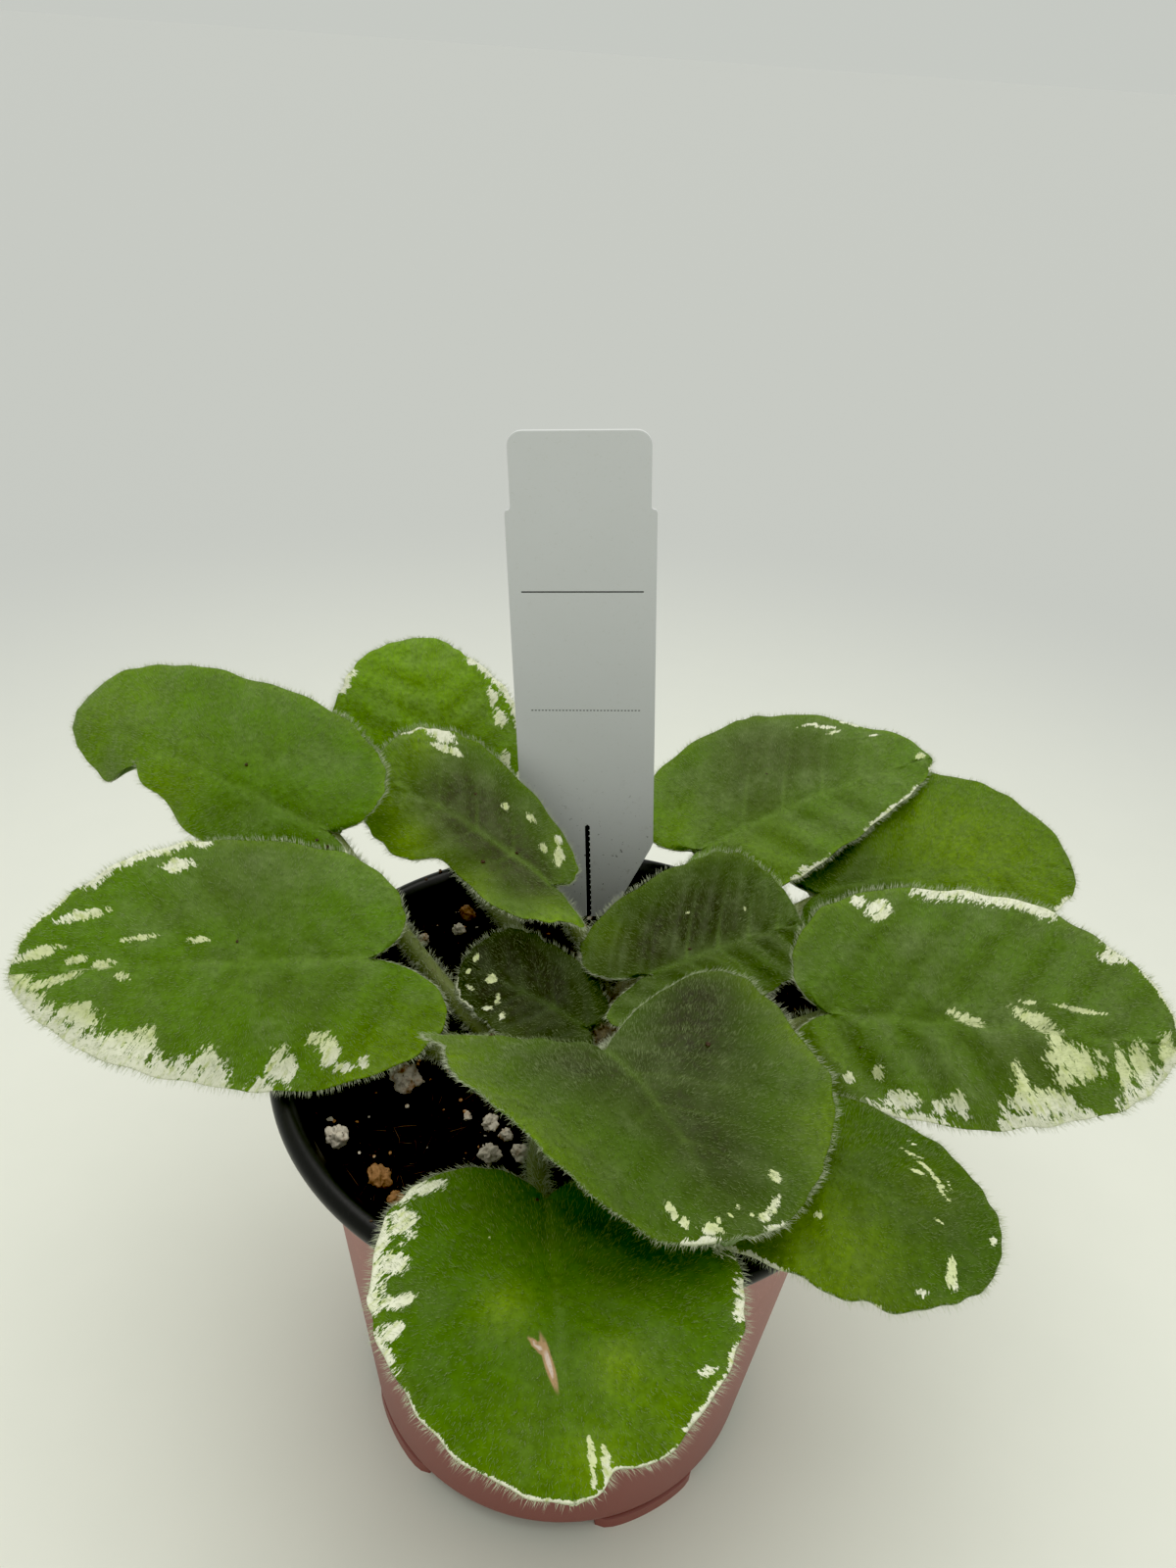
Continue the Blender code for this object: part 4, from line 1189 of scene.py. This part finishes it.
def build_blade(name, number):
    """A closed blade with its veins, ribs and fields of colour. Returns its two grids."""
    leaf, shape, look = LEAVES[name], SHAPES[name], LOOKS[name]
    base, along, left, up, length = leaf_frame(leaf)
    shares = np.linspace(0, 1, ROWS + 1)[:, None] * np.ones(COLUMNS + 1)
    step = np.linspace(-1, 1, COLUMNS + 1)[None] * np.ones((ROWS + 1, 1))
    across = 0.62 * step + 0.38 * np.sin(step * math.pi / 2)
    edges = [half_edge(leaf, shape, side, length, shares) for side in (0, 1)]
    edge_x = np.where(across > 0, edges[0][0], edges[1][0])
    edge_y = np.where(across > 0, edges[0][1], edges[1][1])
    rim = np.abs(across)
    x = length * shares**ROW_SPREAD * (1 - rim) + edge_x * rim
    y = edge_y * across
    height = blade_height(leaf, shape, x, y, length, rim)
    half = THICK / 2 * np.clip(1 - rim**5, 0.0, 1) + 0.18
    rib = np.exp(-((y / 1.15) ** 2)) * np.clip(1.15 - x / length, 0.15, 1) * (x > -1.5)
    vein = vein_place(leaf, shape, x, y, length)
    near = np.abs(vein - np.round(vein)) * length / shape["veins"]
    side_rib = np.exp(-((near / 0.55) ** 2)) * np.clip(1.05 - rim, 0, 1) * (vein > 0.2)
    below = half + 1.25 * rib + 0.3 * side_rib

    def at(rise):
        return base + x[..., None] * along + y[..., None] * left + rise[..., None] * up

    upper, lower = at(height + half), at(height - below)
    index = np.zeros((ROWS + 1, COLUMNS + 1), int)
    index[1:ROWS] = 1 + np.arange((ROWS - 1) * (COLUMNS + 1)).reshape(ROWS - 1, COLUMNS + 1)
    index[ROWS] = 1 + (ROWS - 1) * (COLUMNS + 1)
    count = index[ROWS, 0] + 1

    def listed(grid):
        inner = grid[1:ROWS].reshape(-1, *grid.shape[2:])
        return np.concatenate([grid[:1, 0], inner, grid[ROWS:, 0]])

    body = np.stack([index[1:-2, :-1], index[2:-1, :-1], index[2:-1, 1:], index[1:-2, 1:]], -1)
    body = body.reshape(-1, 4)
    fans = np.concatenate([
        np.stack([index[0, :-1], index[1, :-1], index[1, 1:]], -1),
        np.stack([index[ROWS - 1, :-1], index[ROWS, :-1], index[ROWS - 1, 1:]], -1),
    ])
    walls = []
    for column, flip in ((COLUMNS, False), (0, True)):
        line = index[:, column]
        wall = np.stack([line[:-1], line[1:], line[1:] + count, line[:-1] + count], -1)
        walls.append(wall[:, ::-1] if flip else wall)
    quads = np.concatenate([body, body[:, ::-1] + count, *walls])
    triangles = np.concatenate([fans, fans[:, ::-1] + count])
    points = np.concatenate([listed(upper), listed(lower)])
    blade = mesh_object(f"blade_{name}", points, [quads, triangles], leaf_green)

    def both(values):
        flat = listed(values)
        return np.concatenate([flat, flat])

    reach = np.abs(y)
    cos, sin = FLOW_TURN
    flow = np.stack([(x * cos + reach * sin) * FLOW_SCALE[0],
                     (x * sin - reach * cos) * FLOW_SCALE[1],
                     np.sign(y) * 9 + number * 17.0], -1)
    paint(blade, "flow", both(flow))
    paint(blade, "cream", both(cream_field(look, x, y, edges, shares, across)))
    paint(blade, "inner", both(np.clip((0.85 - rim) * 5, 0, 1)))
    paint(blade, "bronze", both(soft_spots(look["bronze"], x, y)))
    # The thin edge lets light through: a painted glow, added to the yellow-green.
    painted_edge_glow = np.clip((rim - 0.9) * 6, 0, 1) * 0.5
    paint(blade, "yellow", both(np.clip(soft_spots(look["yellow"], x, y) + painted_edge_glow, 0, 1)))
    top_rib = np.exp(-((y / 0.7) ** 2)) * np.clip(1 - x / length, 0, 1) * (x > -1)
    fine_rib = np.exp(-((near / 0.4) ** 2)) * np.clip(0.8 - rim, 0, 1) * (vein > 0.2)
    upper_rib = np.clip(top_rib + look.get("ribbing", 0.5) * fine_rib, 0, 1)
    lower_rib = np.clip(rib + 0.8 * side_rib, 0, 1)
    paint(blade, "rib", np.concatenate([listed(upper_rib), listed(lower_rib)]))
    paint(blade, "tint", both(np.full_like(x, look["tint"])))
    paint(blade, "tone", both(np.full_like(x, look["tone"])))
    paint(blade, "under", np.concatenate([np.zeros(count), np.ones(count)]))
    scar = np.zeros_like(x)
    for patch in look.get("scars", ()):
        scar = np.maximum(scar, np.exp(-oval(x, y, patch)))
    paint(blade, "scar", np.concatenate([listed(scar), np.zeros(count)]))
    settle(blade, "leaf_green", f"leaf_{name}")
    return upper, lower


grids = {name: build_blade(name, number) for number, name in enumerate(LEAVES)}
print("blades:", len(grids))

# %% Crumbs on the leaves
# A few crumbs of the mix always lie on the leaves: leaf, row and column of its grid, size in mm.
FALLEN = (("far_left", 22, 66, 0.5), ("far_left", 26, 60, 0.4), ("far_left", 60, 38, 0.35),
          ("upper_left", 60, 66, 0.45), ("upper_left", 48, 44, 0.4), ("upper_left", 70, 30, 0.35),
          ("centre_front", 52, 66, 0.45), ("centre_front", 22, 16, 0.6), ("front", 20, 40, 0.4),
          ("front_right", 50, 20, 0.35), ("right", 40, 30, 0.3), ("back_right", 64, 60, 0.35),
          ("centre_right", 56, 50, 0.35), ("left", 66, 40, 0.35))
# And on the rim: angle in degrees, radius and size in mm.
ON_RIM = ((118, 50.4, 0.5), (127, 51.2, 0.7), (131, 50.6, 0.4), (139, 50.9, 0.6), (142, 51.5, 0.35),
          (236, 51, 0.4), (322, 50.6, 0.35))
spots = [grids[name][0][row, column] for name, row, column, _ in FALLEN]
spots += [(radius * math.cos(math.radians(angle)), radius * math.sin(math.radians(angle)), POT_TOP)
          for angle, radius, _ in ON_RIM]
sizes = [size for *_, size in FALLEN + ON_RIM]
fallen = lumps("fallen_crumbs", np.array(spots), np.array(sizes), 31, fibre_brown)
settle(fallen, "peat")
print("fallen crumbs:", len(sizes))


# %% Leaf hairs
nap_hair = two_tone("nap_hair", 0.7, 0.3, (0.27, 0.35, 0.13), (0.5, 0.58, 0.32),
                    Specular_IOR_Level=0.1)
fringe_hair = two_tone("fringe_hair", 0.5, 0.3, (0.5, 0.56, 0.34), (0.78, 0.82, 0.64),
                       Specular_IOR_Level=0.3)

# Hairs on each square mm of the two faces, and on each mm of the edge.
TOP_HAIRS = 5.0
UNDER_HAIRS = 1.4
EDGE_HAIRS = 9.0


def scattered(grid, per_mm2, dice):
    """Roots, outward normals and forward directions, spread evenly over a grid of points."""
    a, b, c, d = grid[:-1, :-1], grid[1:, :-1], grid[1:, 1:], grid[:-1, 1:]
    cross = np.cross(c - a, d - b)
    areas = np.linalg.norm(cross, axis=-1) / 2
    count = int(areas.sum() * per_mm2)
    flat = areas.ravel() / areas.sum()
    cell = dice.choice(len(flat), count, p=flat)
    row, column = np.unravel_index(cell, areas.shape)
    s, t = dice.random((2, count, 1))
    roots = ((a[row, column] * (1 - s) + b[row, column] * s) * (1 - t)
             + (d[row, column] * (1 - s) + c[row, column] * s) * t)
    forward = unit(b[row, column] - a[row, column] + c[row, column] - d[row, column])
    return roots, unit(cross[row, column]), forward


def build_hairs(name, number):
    """One blade's hairs: a nap above, a sparser one below, and the fringe, which it returns."""
    upper, lower = grids[name]
    base, along, _, up, length = leaf_frame(LEAVES[name])
    dice = np.random.default_rng(100 + number)
    roots, normals, _ = scattered(upper, TOP_HAIRS, dice)
    outward = unit(roots - (base + along * length * 0.3))
    ways = normals * 0.75 + outward * 0.75 + dice.normal(size=roots.shape) * 0.28
    above = spikes(roots, ways, (0.4, 1.0), (0.013, 0.022), dice)
    roots, normals, _ = scattered(lower, UNDER_HAIRS, dice)
    ways = -normals * 0.9 + dice.normal(size=roots.shape) * 0.35
    below = spikes(roots, ways, (0.5, 1.1), (0.016, 0.028), dice)
    hair_object(f"nap_{name}", [above, below], nap_hair, "leaf_green")
    parts = []
    for column, inner in ((0, 4), (COLUMNS, COLUMNS - 4)):
        line = (upper[:, column] + lower[:, column]) / 2
        inside = (upper[:, inner] + lower[:, inner]) / 2
        steps = np.linalg.norm(np.diff(line, axis=0), axis=1)
        count = int(steps.sum() * EDGE_HAIRS)
        place = dice.choice(len(steps), count, p=steps / steps.sum())
        share = dice.random((count, 1))
        roots = line[place] * (1 - share) + line[place + 1] * share
        outward = unit(line[place] - inside[place])
        forward = unit(line[place + 1] - line[place])
        roots = roots - outward * 0.1 + up * dice.uniform(-0.2, 0.25, (count, 1))
        ways = outward + forward * 0.25 + up * dice.uniform(-0.3, 0.7, (count, 1))
        ways = ways + dice.normal(size=ways.shape) * 0.16
        parts.append(spikes(roots, ways, (0.6, 1.7), (0.018, 0.034), dice))
    return hair_object(f"fringe_{name}", parts, fringe_hair, "leaf_green")


total = 0
for number, name in enumerate(LEAVES):
    total += len(build_hairs(name, number).data.polygons)
print("hair faces:", total)

# %% [markdown]
# ## Leaf stems
# Each blade hangs on a round juicy stem, which leaves the crown low, clears the rim and turns
# up under the blade, where it runs on as the midrib. Its route is the frame's own. A swept
# tube of rings lets it taper and sit a little uneven, which a bevelled curve can't.

# %% Stem finish
stem_green, tree, shader = new_finish("stem_green", 0.5, Specular_IOR_Level=0.4, Sheen_Weight=0.1)
place = millimetres(tree)
fine = placed(tree, grain_group, Vector=place, Scale=1.6)
young = blended(tree, fine.outputs["Broad"], (0.115, 0.15, 0.035), (0.2, 0.235, 0.075))
aged = blended(tree, attribute(tree, "age"), young, (0.16, 0.105, 0.045))
freckles = stepped(tree, fine.outputs["Fine"], 0.62, 0.72)
joined(tree, blended(tree, freckles, aged, (0.11, 0.07, 0.03)), shader.inputs["Base Color"])
joined(tree, linear(tree, fine.outputs["Fine"], 0.3, 0.35), shader.inputs["Roughness"])
embossed(tree, shader, fine.outputs["Fine"], 0.5, 0.25)
print("finish:", stem_green.name)

# %% Stem routes
CROWN_CENTRE = (4, 2)
CROWN_RADIUS = 4.5
STEM_RADIUS = 1.7
STEM_END_RADIUS = 1.3
STEM_SIDES = 18
STEM_HAIRS = 4.5  # on each square mm
STEM_OUT = 2.6  # how far a stem runs level before it turns to its first point
STEM_DROP = 1.9  # how far its middle lies below the blade's
STEMS = {
    "far_left": dict(angle=168, height=88, via=((-15, -1, 89.5), (-25, 4, 95.5), (-36, 9.5, 107))),
    "left": dict(angle=212, height=88, via=((-14, -6, 88.5), (-26, -8, 93))),
    "back_left": dict(angle=122, height=88, via=((-14, 25, 91), (-27, 43, 93.5))),
    "upper_left": dict(angle=98, height=90.5, via=((0, 13, 98),)),
    "centre_left": dict(angle=200, height=90.5, via=(), thin=0.8),
    "centre_right": dict(angle=20, height=90, via=((12, 4, 94),)),
    "centre_front": dict(angle=285, height=89.5, via=((5, -12, 98),)),
    "front": dict(angle=250, height=88, via=((-4, -14, 89), (-6, -30, 93))),
    "front_right": dict(angle=310, height=88, via=((14, -14, 90),)),
    "right": dict(angle=340, height=88.5, via=((18, -1, 91), (29, -5, 97))),
    "back_right": dict(angle=80, height=87.8, via=((9, 20, 90), (14, 33, 94))),
    "far_right": dict(angle=38, height=87.8, via=((20, 17, 89.5), (33, 28, 93.5))),
}


def smooth_line(points, count):
    """Even steps along a smooth curve through these points."""
    points = [np.array(point, float) for point in points]
    ends = [2 * points[0] - points[1]] + points + [2 * points[-1] - points[-2]]
    made = []
    for step in range(count):
        place = step / (count - 1) * (len(points) - 1)
        span = min(int(place), len(points) - 2)
        t = place - span
        a, b, c, d = ends[span : span + 4]
        made.append(0.5 * (2 * b + (c - a) * t + (2 * a - 5 * b + 4 * c - d) * t**2
                           + (3 * b - a - 3 * c + d) * t**3))
    return np.array(made)


def stem_line(name):
    """Out of the crown, past its points, to under the midrib, and along it for a little."""
    stem, leaf, shape = STEMS[name], LEAVES[name], SHAPES[name]
    base, along, _, up, length = leaf_frame(leaf)
    turn = math.radians(stem["angle"])
    ahead = np.array((math.cos(turn), math.sin(turn), 0))
    start = np.array((*CROWN_CENTRE, stem["height"])) + ahead * (CROWN_RADIUS - 2)
    out = start + ahead * STEM_OUT

    def under(x, drop):
        rise = float(blade_height(leaf, shape, np.array(x), np.array(0.0), length, np.array(0.0)))
        return base + along * x + up * (rise - drop)

    line = smooth_line([out, *stem["via"], under(0.5, STEM_DROP)], 36)
    return np.concatenate([[start], line, [under(3, STEM_DROP), under(6, STEM_DROP - 0.3)]])


def tube(name, line, radii, sides, finish, seed, lump=0.05):
    """A closed uneven tube along a line. Returns the object and its rings of points."""
    ahead = unit(np.gradient(line, axis=0))
    side = unit(np.cross(ahead[0], (0.3, 0.2, 1.0)))
    rings = []
    for step, spot in enumerate(line):
        side = unit(side - ahead[step] * (side @ ahead[step]))
        other = np.cross(ahead[step], side)
        turns = np.arange(sides) * math.tau / sides
        wave = 1 + lump * ripple(np.cos(turns) * 3, np.full(sides, step * 0.5), 1.0, seed)
        ring = np.cos(turns)[:, None] * side + np.sin(turns)[:, None] * other
        rings.append(spot + ring * (radii[step] * wave)[:, None])
    rings = np.array(rings)
    index, after, quads = bands(len(line), sides, outward=True)
    first, last = index.size, index.size + 1
    fans = np.concatenate([np.stack([np.full(sides, first), after[0], index[0]], -1),
                           np.stack([np.full(sides, last), index[-1], after[-1]], -1)])
    points = np.concatenate([rings.reshape(-1, 3), line[:1], line[-1:]])
    closed = np.concatenate([rings, rings[:, :1]], axis=1)
    return mesh_object(name, points, [quads, fans], finish), closed


def nearest(line, roots):
    """The point of the line that is nearest to each root."""
    return line[np.argmin(np.linalg.norm(roots[:, None] - line[None], axis=2), axis=1)]


def build_stem(name, number):
    line = stem_line(name)
    radii = np.interp(np.linspace(0, 1, len(line)), (0, 0.1, 0.9, 0.97, 1),
                      (1.5, STEM_RADIUS, STEM_END_RADIUS + 0.1, 1.1, 0.5))
    radii = radii * STEMS[name].get("thin", 1)
    stem, rings = tube(f"stem_{name}", line, radii, STEM_SIDES, stem_green, 300 + number)
    age = np.repeat(np.clip(1 - np.linspace(0, 1, len(line)) * 3.2, 0, 1), STEM_SIDES)
    paint(stem, "age", np.concatenate([age, (1, 0)]))
    settle(stem, "stem_green", f"petiole_{name}")
    dice = np.random.default_rng(400 + number)
    roots, _, forward = scattered(rings[1:-3], STEM_HAIRS, dice)
    ways = unit(roots - nearest(line, roots)) + forward * 0.2 + dice.normal(size=roots.shape) * 0.25
    hairs = spikes(roots, ways, (0.7, 2.0), (0.02, 0.035), dice)
    hair_object(f"stem_hairs_{name}", [hairs], fringe_hair, "stem_green")


for number, name in enumerate(STEMS):
    build_stem(name, number)
print("stems:", len(STEMS))

# %% [markdown]
# ## Crown
# The stems leave a short stub, and at its middle the next leaves are still furled buds a few
# millimetres long, brown with hair. They are built as small tapered tubes that lean out round the
# stub.

# %% Crown finish and stub
crown_finish = two_tone("crown_growth", 0.65, 1.5, (0.06, 0.035, 0.014), (0.2, 0.17, 0.06),
                        (0.8, 0.5), Sheen_Weight=0.15)
bud_hair = two_tone("bud_hair", 0.55, 0.5, (0.22, 0.15, 0.07), (0.5, 0.42, 0.26))

CROWN_SINK = 0.8
low, high = [Vector(corner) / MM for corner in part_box("crown")]
levels = np.linspace(0, 1, 14)
line = np.stack([np.full(len(levels), CROWN_CENTRE[0]), np.full(len(levels), CROWN_CENTRE[1]),
                 low.z - CROWN_SINK + (high.z - low.z + CROWN_SINK) * levels], -1)
radii = CROWN_RADIUS * np.sqrt(np.clip(1.02 - levels**3, 0.02, 1)) * 0.97
stub, rings = tube("crown_stub", line, radii, 40, crown_finish, 77, 0.14)
settle(stub, "crown_stem", "crown")
dice = np.random.default_rng(55)
roots, _, _ = scattered(rings, 7, dice)
ways = unit(roots - np.array((*CROWN_CENTRE, low.z))) + dice.normal(size=roots.shape) * 0.4
crown_parts = [spikes(roots, ways, (0.8, 2.4), (0.02, 0.04), dice)]
print("crown height in mm:", round(high.z - low.z, 1))

# %% Buds
# Angle in degrees, distance from the crown's middle, length in mm, lean above level in degrees.
BUDS = ((0, 3.2, 5.5, 30), (75, 3.4, 4.5, 45), (140, 3.6, 6.2, 35), (205, 3.3, 4.0, 50),
        (265, 3.6, 5.2, 40), (320, 3.0, 4.2, 55))
for number, (angle, start, size, lean) in enumerate(BUDS):
    turn, tip_lean = math.radians(angle), math.radians(lean)
    out = np.array((math.cos(turn), math.sin(turn), 0))
    ahead = out * math.cos(tip_lean) + np.array((0, 0, math.sin(tip_lean)))
    root = np.array((*CROWN_CENTRE, high.z - 2.2)) + out * (start - 1.6)
    steps = np.linspace(0, 1, 12)
    line = root + ahead * (steps * size)[:, None] + np.array((0, 0, 1)) * (steps**2 * 0.8)[:, None]
    radii = size * 0.26 * np.sin(np.clip(steps * 0.9 + 0.08, 0, 1) * math.pi) ** 0.7 + 0.1
    bud, rings = tube(f"bud_{number + 1}", line, radii, 16, crown_finish, 500 + number, 0.12)
    settle(bud, "crown_stem")
    roots, _, _ = scattered(rings, 9, dice)
    ways = unit(roots - nearest(line, roots)) + ahead * 0.7 + dice.normal(size=roots.shape) * 0.2
    crown_parts.append(spikes(roots, ways, (0.6, 1.8), (0.016, 0.03), dice))
hair_object("crown_hairs", crown_parts, bud_hair, "crown_stem")
print("buds:", len(BUDS))

# %% [markdown]
# ## Plant label
# A stake label is die-cut from thin white sheet: a narrower head, a point, and a perforated
# slit up its middle, so that it can be bent. A filled 2D curve with a second loop inside it
# gives the cut shape with a real slit, and its bevel gives the sheet its softened edges.

# %% Label finish
LABEL_POINT = Vector((0.5, 39, 76))
LABEL_WIDTH = 25.4
LABEL_LENGTH = 107
LABEL_POINT_LENGTH = 27
LABEL_HEAD = 13
LABEL_NOTCH = 1
LABEL_CORNER = 2.5
LABEL_THICKNESS = 0.6
LABEL_EDGE = 0.08
LABEL_LEAN = math.radians(-4.5)

label_white, tree, shader = new_finish("label_sheet", 0.42, Specular_IOR_Level=0.5)
sheet_place = attribute(tree, "sheet", "Vector")
parts = tree.nodes.new("ShaderNodeSeparateXYZ")
joined(tree, sheet_place, parts.inputs[0])
across, high_up, depth = parts.outputs


def rule(height, thick, reach):
    """A thin printed line across the label."""
    near = arithmetic(tree, "ABSOLUTE", arithmetic(tree, "SUBTRACT", high_up, height))
    line = arithmetic(tree, "LESS_THAN", near, thick)
    return times(tree, line, arithmetic(
        tree, "LESS_THAN", arithmetic(tree, "ABSOLUTE", across), reach))


saw = arithmetic(tree, "FRACT", times(tree, across, 1.6))
dashes = arithmetic(tree, "GREATER_THAN", saw, 0.45)
print_mask = arithmetic(tree, "MAXIMUM", rule(79.5, 0.13, 10.5),
                        times(tree, rule(56.5, 0.1, 10), dashes))
smudge = cloud(tree, sheet_place, 0.35, 4, 0.7)
low_down = stepped(tree, times(tree, high_up, -1.0), -50.0, -12.0)
smudge = times(tree, stepped(tree, smudge, 0.58, 0.75), low_down)
flat = placed(tree, dust_group, Vector=sheet_place, Clean=(0.80, 0.81, 0.82),
              Dust=(0.62, 0.63, 0.58), Amount=0.25, Clean_Roughness=0.4)
sheet_colour = blended(tree, times(tree, smudge, 0.55), flat.outputs["Color"], (0.2, 0.16, 0.11))
soil_specks = stepped(tree, cloud(tree, sheet_place, 1.3, 2, 0.6), 0.68, 0.71)
sheet_colour = blended(tree, times(tree, soil_specks, low_down), sheet_colour, (0.03, 0.02, 0.012))
print_mask = times(tree, print_mask, arithmetic(tree, "GREATER_THAN", depth, 0.0))
joined(tree, blended(tree, print_mask, sheet_colour, (0.03, 0.035, 0.032)),
       shader.inputs["Base Color"])
joined(tree, flat.outputs["Roughness"], shader.inputs["Roughness"])
embossed(tree, shader, cloud(tree, sheet_place, 1.4, 2), 0.08, 0.05)
print("finish:", label_white.name)

# %% Label shape
half = LABEL_WIDTH / 2
head = half - LABEL_NOTCH
shoulder = LABEL_LENGTH - LABEL_HEAD
corner = arc((head - LABEL_CORNER, LABEL_LENGTH - LABEL_CORNER), LABEL_CORNER, 0, 90, 8)
side = [(0.0, 0.0), (half - 0.5, LABEL_POINT_LENGTH - 1.1), (half, LABEL_POINT_LENGTH + 0.3),
        (half, shoulder - 0.6), (half - 0.2, shoulder - 0.1), (head + 0.3, shoulder),
        (head, shoulder + 0.3)]
outline = side + corner + [(-x, y) for x, y in reversed(side[1:] + corner)]
SLIT_LOW, SLIT_HIGH, SLIT_HALF = 5.0, 31.5, 0.45
NIB_SPACE, NIB_WIDTH = 1.3, 0.22
slit = [(-SLIT_HALF, SLIT_LOW), (-SLIT_HALF, SLIT_HIGH - 0.4), (0, SLIT_HIGH),
        (SLIT_HALF, SLIT_HIGH - 0.4)]
nib = SLIT_HIGH - 1.2
while nib > SLIT_LOW + 1:
    slit += [(SLIT_HALF, nib), (SLIT_HALF - NIB_WIDTH, nib - 0.1),
             (SLIT_HALF - NIB_WIDTH, nib - 0.3), (SLIT_HALF, nib - 0.4)]
    nib -= NIB_SPACE
slit.append((SLIT_HALF, SLIT_LOW))
curve = bpy.data.curves.new("label", "CURVE")
curve.dimensions = "2D"
curve.fill_mode = "BOTH"
curve.extrude = (LABEL_THICKNESS / 2 - LABEL_EDGE) * MM
curve.bevel_depth = LABEL_EDGE * MM
curve.bevel_resolution = 2
curve.offset = -LABEL_EDGE * MM
for loop in (outline, slit):
    spline = curve.splines.new("POLY")
    spline.points.add(len(loop) - 1)
    for point, (x, y) in zip(spline.points, loop):
        point.co = (x * MM, y * MM, 0, 1)
    spline.use_cyclic_u = True
label_curve = bpy.data.objects.new("label", curve)
scene.collection.objects.link(label_curve)
bpy.context.view_layer.update()
graph = bpy.context.evaluated_depsgraph_get()
flat_mesh = bpy.data.meshes.new_from_object(label_curve.evaluated_get(graph))
bpy.data.objects.remove(label_curve)
flat_mesh.name = "label_sheet"
label = bpy.data.objects.new("label_sheet", flat_mesh)
scene.collection.objects.link(label)
mended(flat_mesh, merge=0.000005)
paint(label, "sheet", np.array([v.co for v in flat_mesh.vertices]) / MM)
lean = Matrix.Translation(LABEL_POINT * MM) @ Matrix.Rotation(LABEL_LEAN, 4, "Y")
stance = lean @ Matrix.Rotation(math.radians(90), 4, "X")
flat_mesh.transform(stance)
flat_mesh.materials.clear()
flat_mesh.materials.append(label_white)
settle(label, "label_plastic", "plant_label")
print("label faces:", len(flat_mesh.polygons))

# %% Painted shadow in the label's slit
# A dark sheet, thinner than the label, fills the slit between the nibs: painted shadow, for the
# shade that makes the slit look black.
slot_dark, tree, shader = new_finish("slot_shadow", 0.7, Specular_IOR_Level=0.2)
shade = cloud(tree, millimetres(tree), 1.5)
joined(tree, blended(tree, shade, (0.004, 0.004, 0.004), (0.012, 0.011, 0.01)),
       shader.inputs["Base Color"])
slit_shadow_box = bmesh.new()
bmesh.ops.create_cube(slit_shadow_box, size=1)
for vert in slit_shadow_box.verts:
    wide = vert.co.x * 2 * (SLIT_HALF + 0.05)
    tall = (SLIT_LOW + SLIT_HIGH) / 2 + vert.co.y * (SLIT_HIGH - SLIT_LOW)
    vert.co = Vector((wide, tall, vert.co.z * 0.2)) * MM
bmesh.ops.bevel(slit_shadow_box, geom=slit_shadow_box.edges, offset=0.00003, segments=1, affect="EDGES")
slit_shadow_mesh = bpy.data.meshes.new("label_slit_shadow")
slit_shadow_box.to_mesh(slit_shadow_mesh)
slit_shadow_box.free()
slit_shadow_mesh.transform(stance)
slit_shadow_mesh.materials.append(slot_dark)
slit_shadow_object = bpy.data.objects.new("label_slit_shadow", slit_shadow_mesh)
scene.collection.objects.link(slit_shadow_object)
settle(slit_shadow_object, "label_plastic")
print("film faces:", len(slit_shadow_mesh.polygons))

# %% [markdown]
# ## Perlite and bark grains
# The pale grains on the soil are puffed mineral, pitted and stained brown by the peat. Each is
# a fine ball pushed in and out by noise, over the place and size of its solid in the frame.

# %% Grain finish
perlite, tree, shader = new_finish("perlite", 0.85, Specular_IOR_Level=0.3)
place = millimetres(tree)
fine = placed(tree, grain_group, Vector=place, Scale=1.3)
pale = blended(tree, fine.outputs["Fine"], (0.42, 0.36, 0.27), (0.74, 0.69, 0.58))
stained = blended(tree, fine.outputs["Fine"], (0.16, 0.07, 0.02), (0.5, 0.27, 0.11))
stain_mask = arithmetic(tree, "ADD", attribute(tree, "stain"),
                        linear(tree, cloud(tree, place, 0.45, 3), 1.2, -0.6))
colour = blended(tree, stepped(tree, stain_mask, 0.35, 0.65), pale, stained)
pits = stepped(tree, cloud(tree, place, 1.8, 3, 0.7), 0.6, 0.68)
joined(tree, blended(tree, pits, colour, (0.05, 0.035, 0.02)), shader.inputs["Base Color"])
embossed(tree, shader, fine.outputs["Fine"], 0.9, 0.5)
print("finish:", perlite.name)

# %% Grains
STAINS = (0.4, 0.2, 0.75, 0.9, 0.25, 0.3, 0.15, 0.25, 0.3, 0.6, 0.3, 0.4, 0.7, 0.3, 0.5, 0.2)
ball_points, ball_faces = ball(4)
for number, stain in enumerate(STAINS, 1):
    node_name = f"perlite_{number:02d}"
    low, high = [np.array(corner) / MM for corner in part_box(node_name)]
    centre, size = (low + high) / 2, (high - low) / 2
    points = []
    for point in ball_points:
        spot = Vector(point) * 1.1 + Vector((number * 7, 0, 0))
        swell = 1 + 0.5 * noise.noise(spot) + 0.3 * noise.noise(spot * 2.7)
        swell -= 0.25 * max(0, noise.noise(spot * 5.3)) ** 0.7
        points.append(centre + point * swell * size)
    grain = mesh_object(f"grain_{number:02d}", np.array(points), [ball_faces], perlite)
    paint(grain, "stain", np.full(len(points), stain))
    settle(grain, "perlite", node_name)

SPECKS = 320
dice = np.random.default_rng(21)
speck_places = on_soil(dice, SPECKS) + (0, 0, 0.1)
speck_sizes = dice.uniform(0.25, 0.75, SPECKS) ** 2
specks = lumps("perlite_specks", speck_places, speck_sizes, 22, perlite)
points_each = len(specks.data.vertices) // SPECKS
paint(specks, "stain", np.repeat(dice.uniform(0.1, 1, SPECKS), points_each))
settle(specks, "perlite")
print("grains:", len(STAINS))

# %% Finish
low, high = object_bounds()
print("box in mm:", [round(v / MM, 1) for v in (*low, *high)])
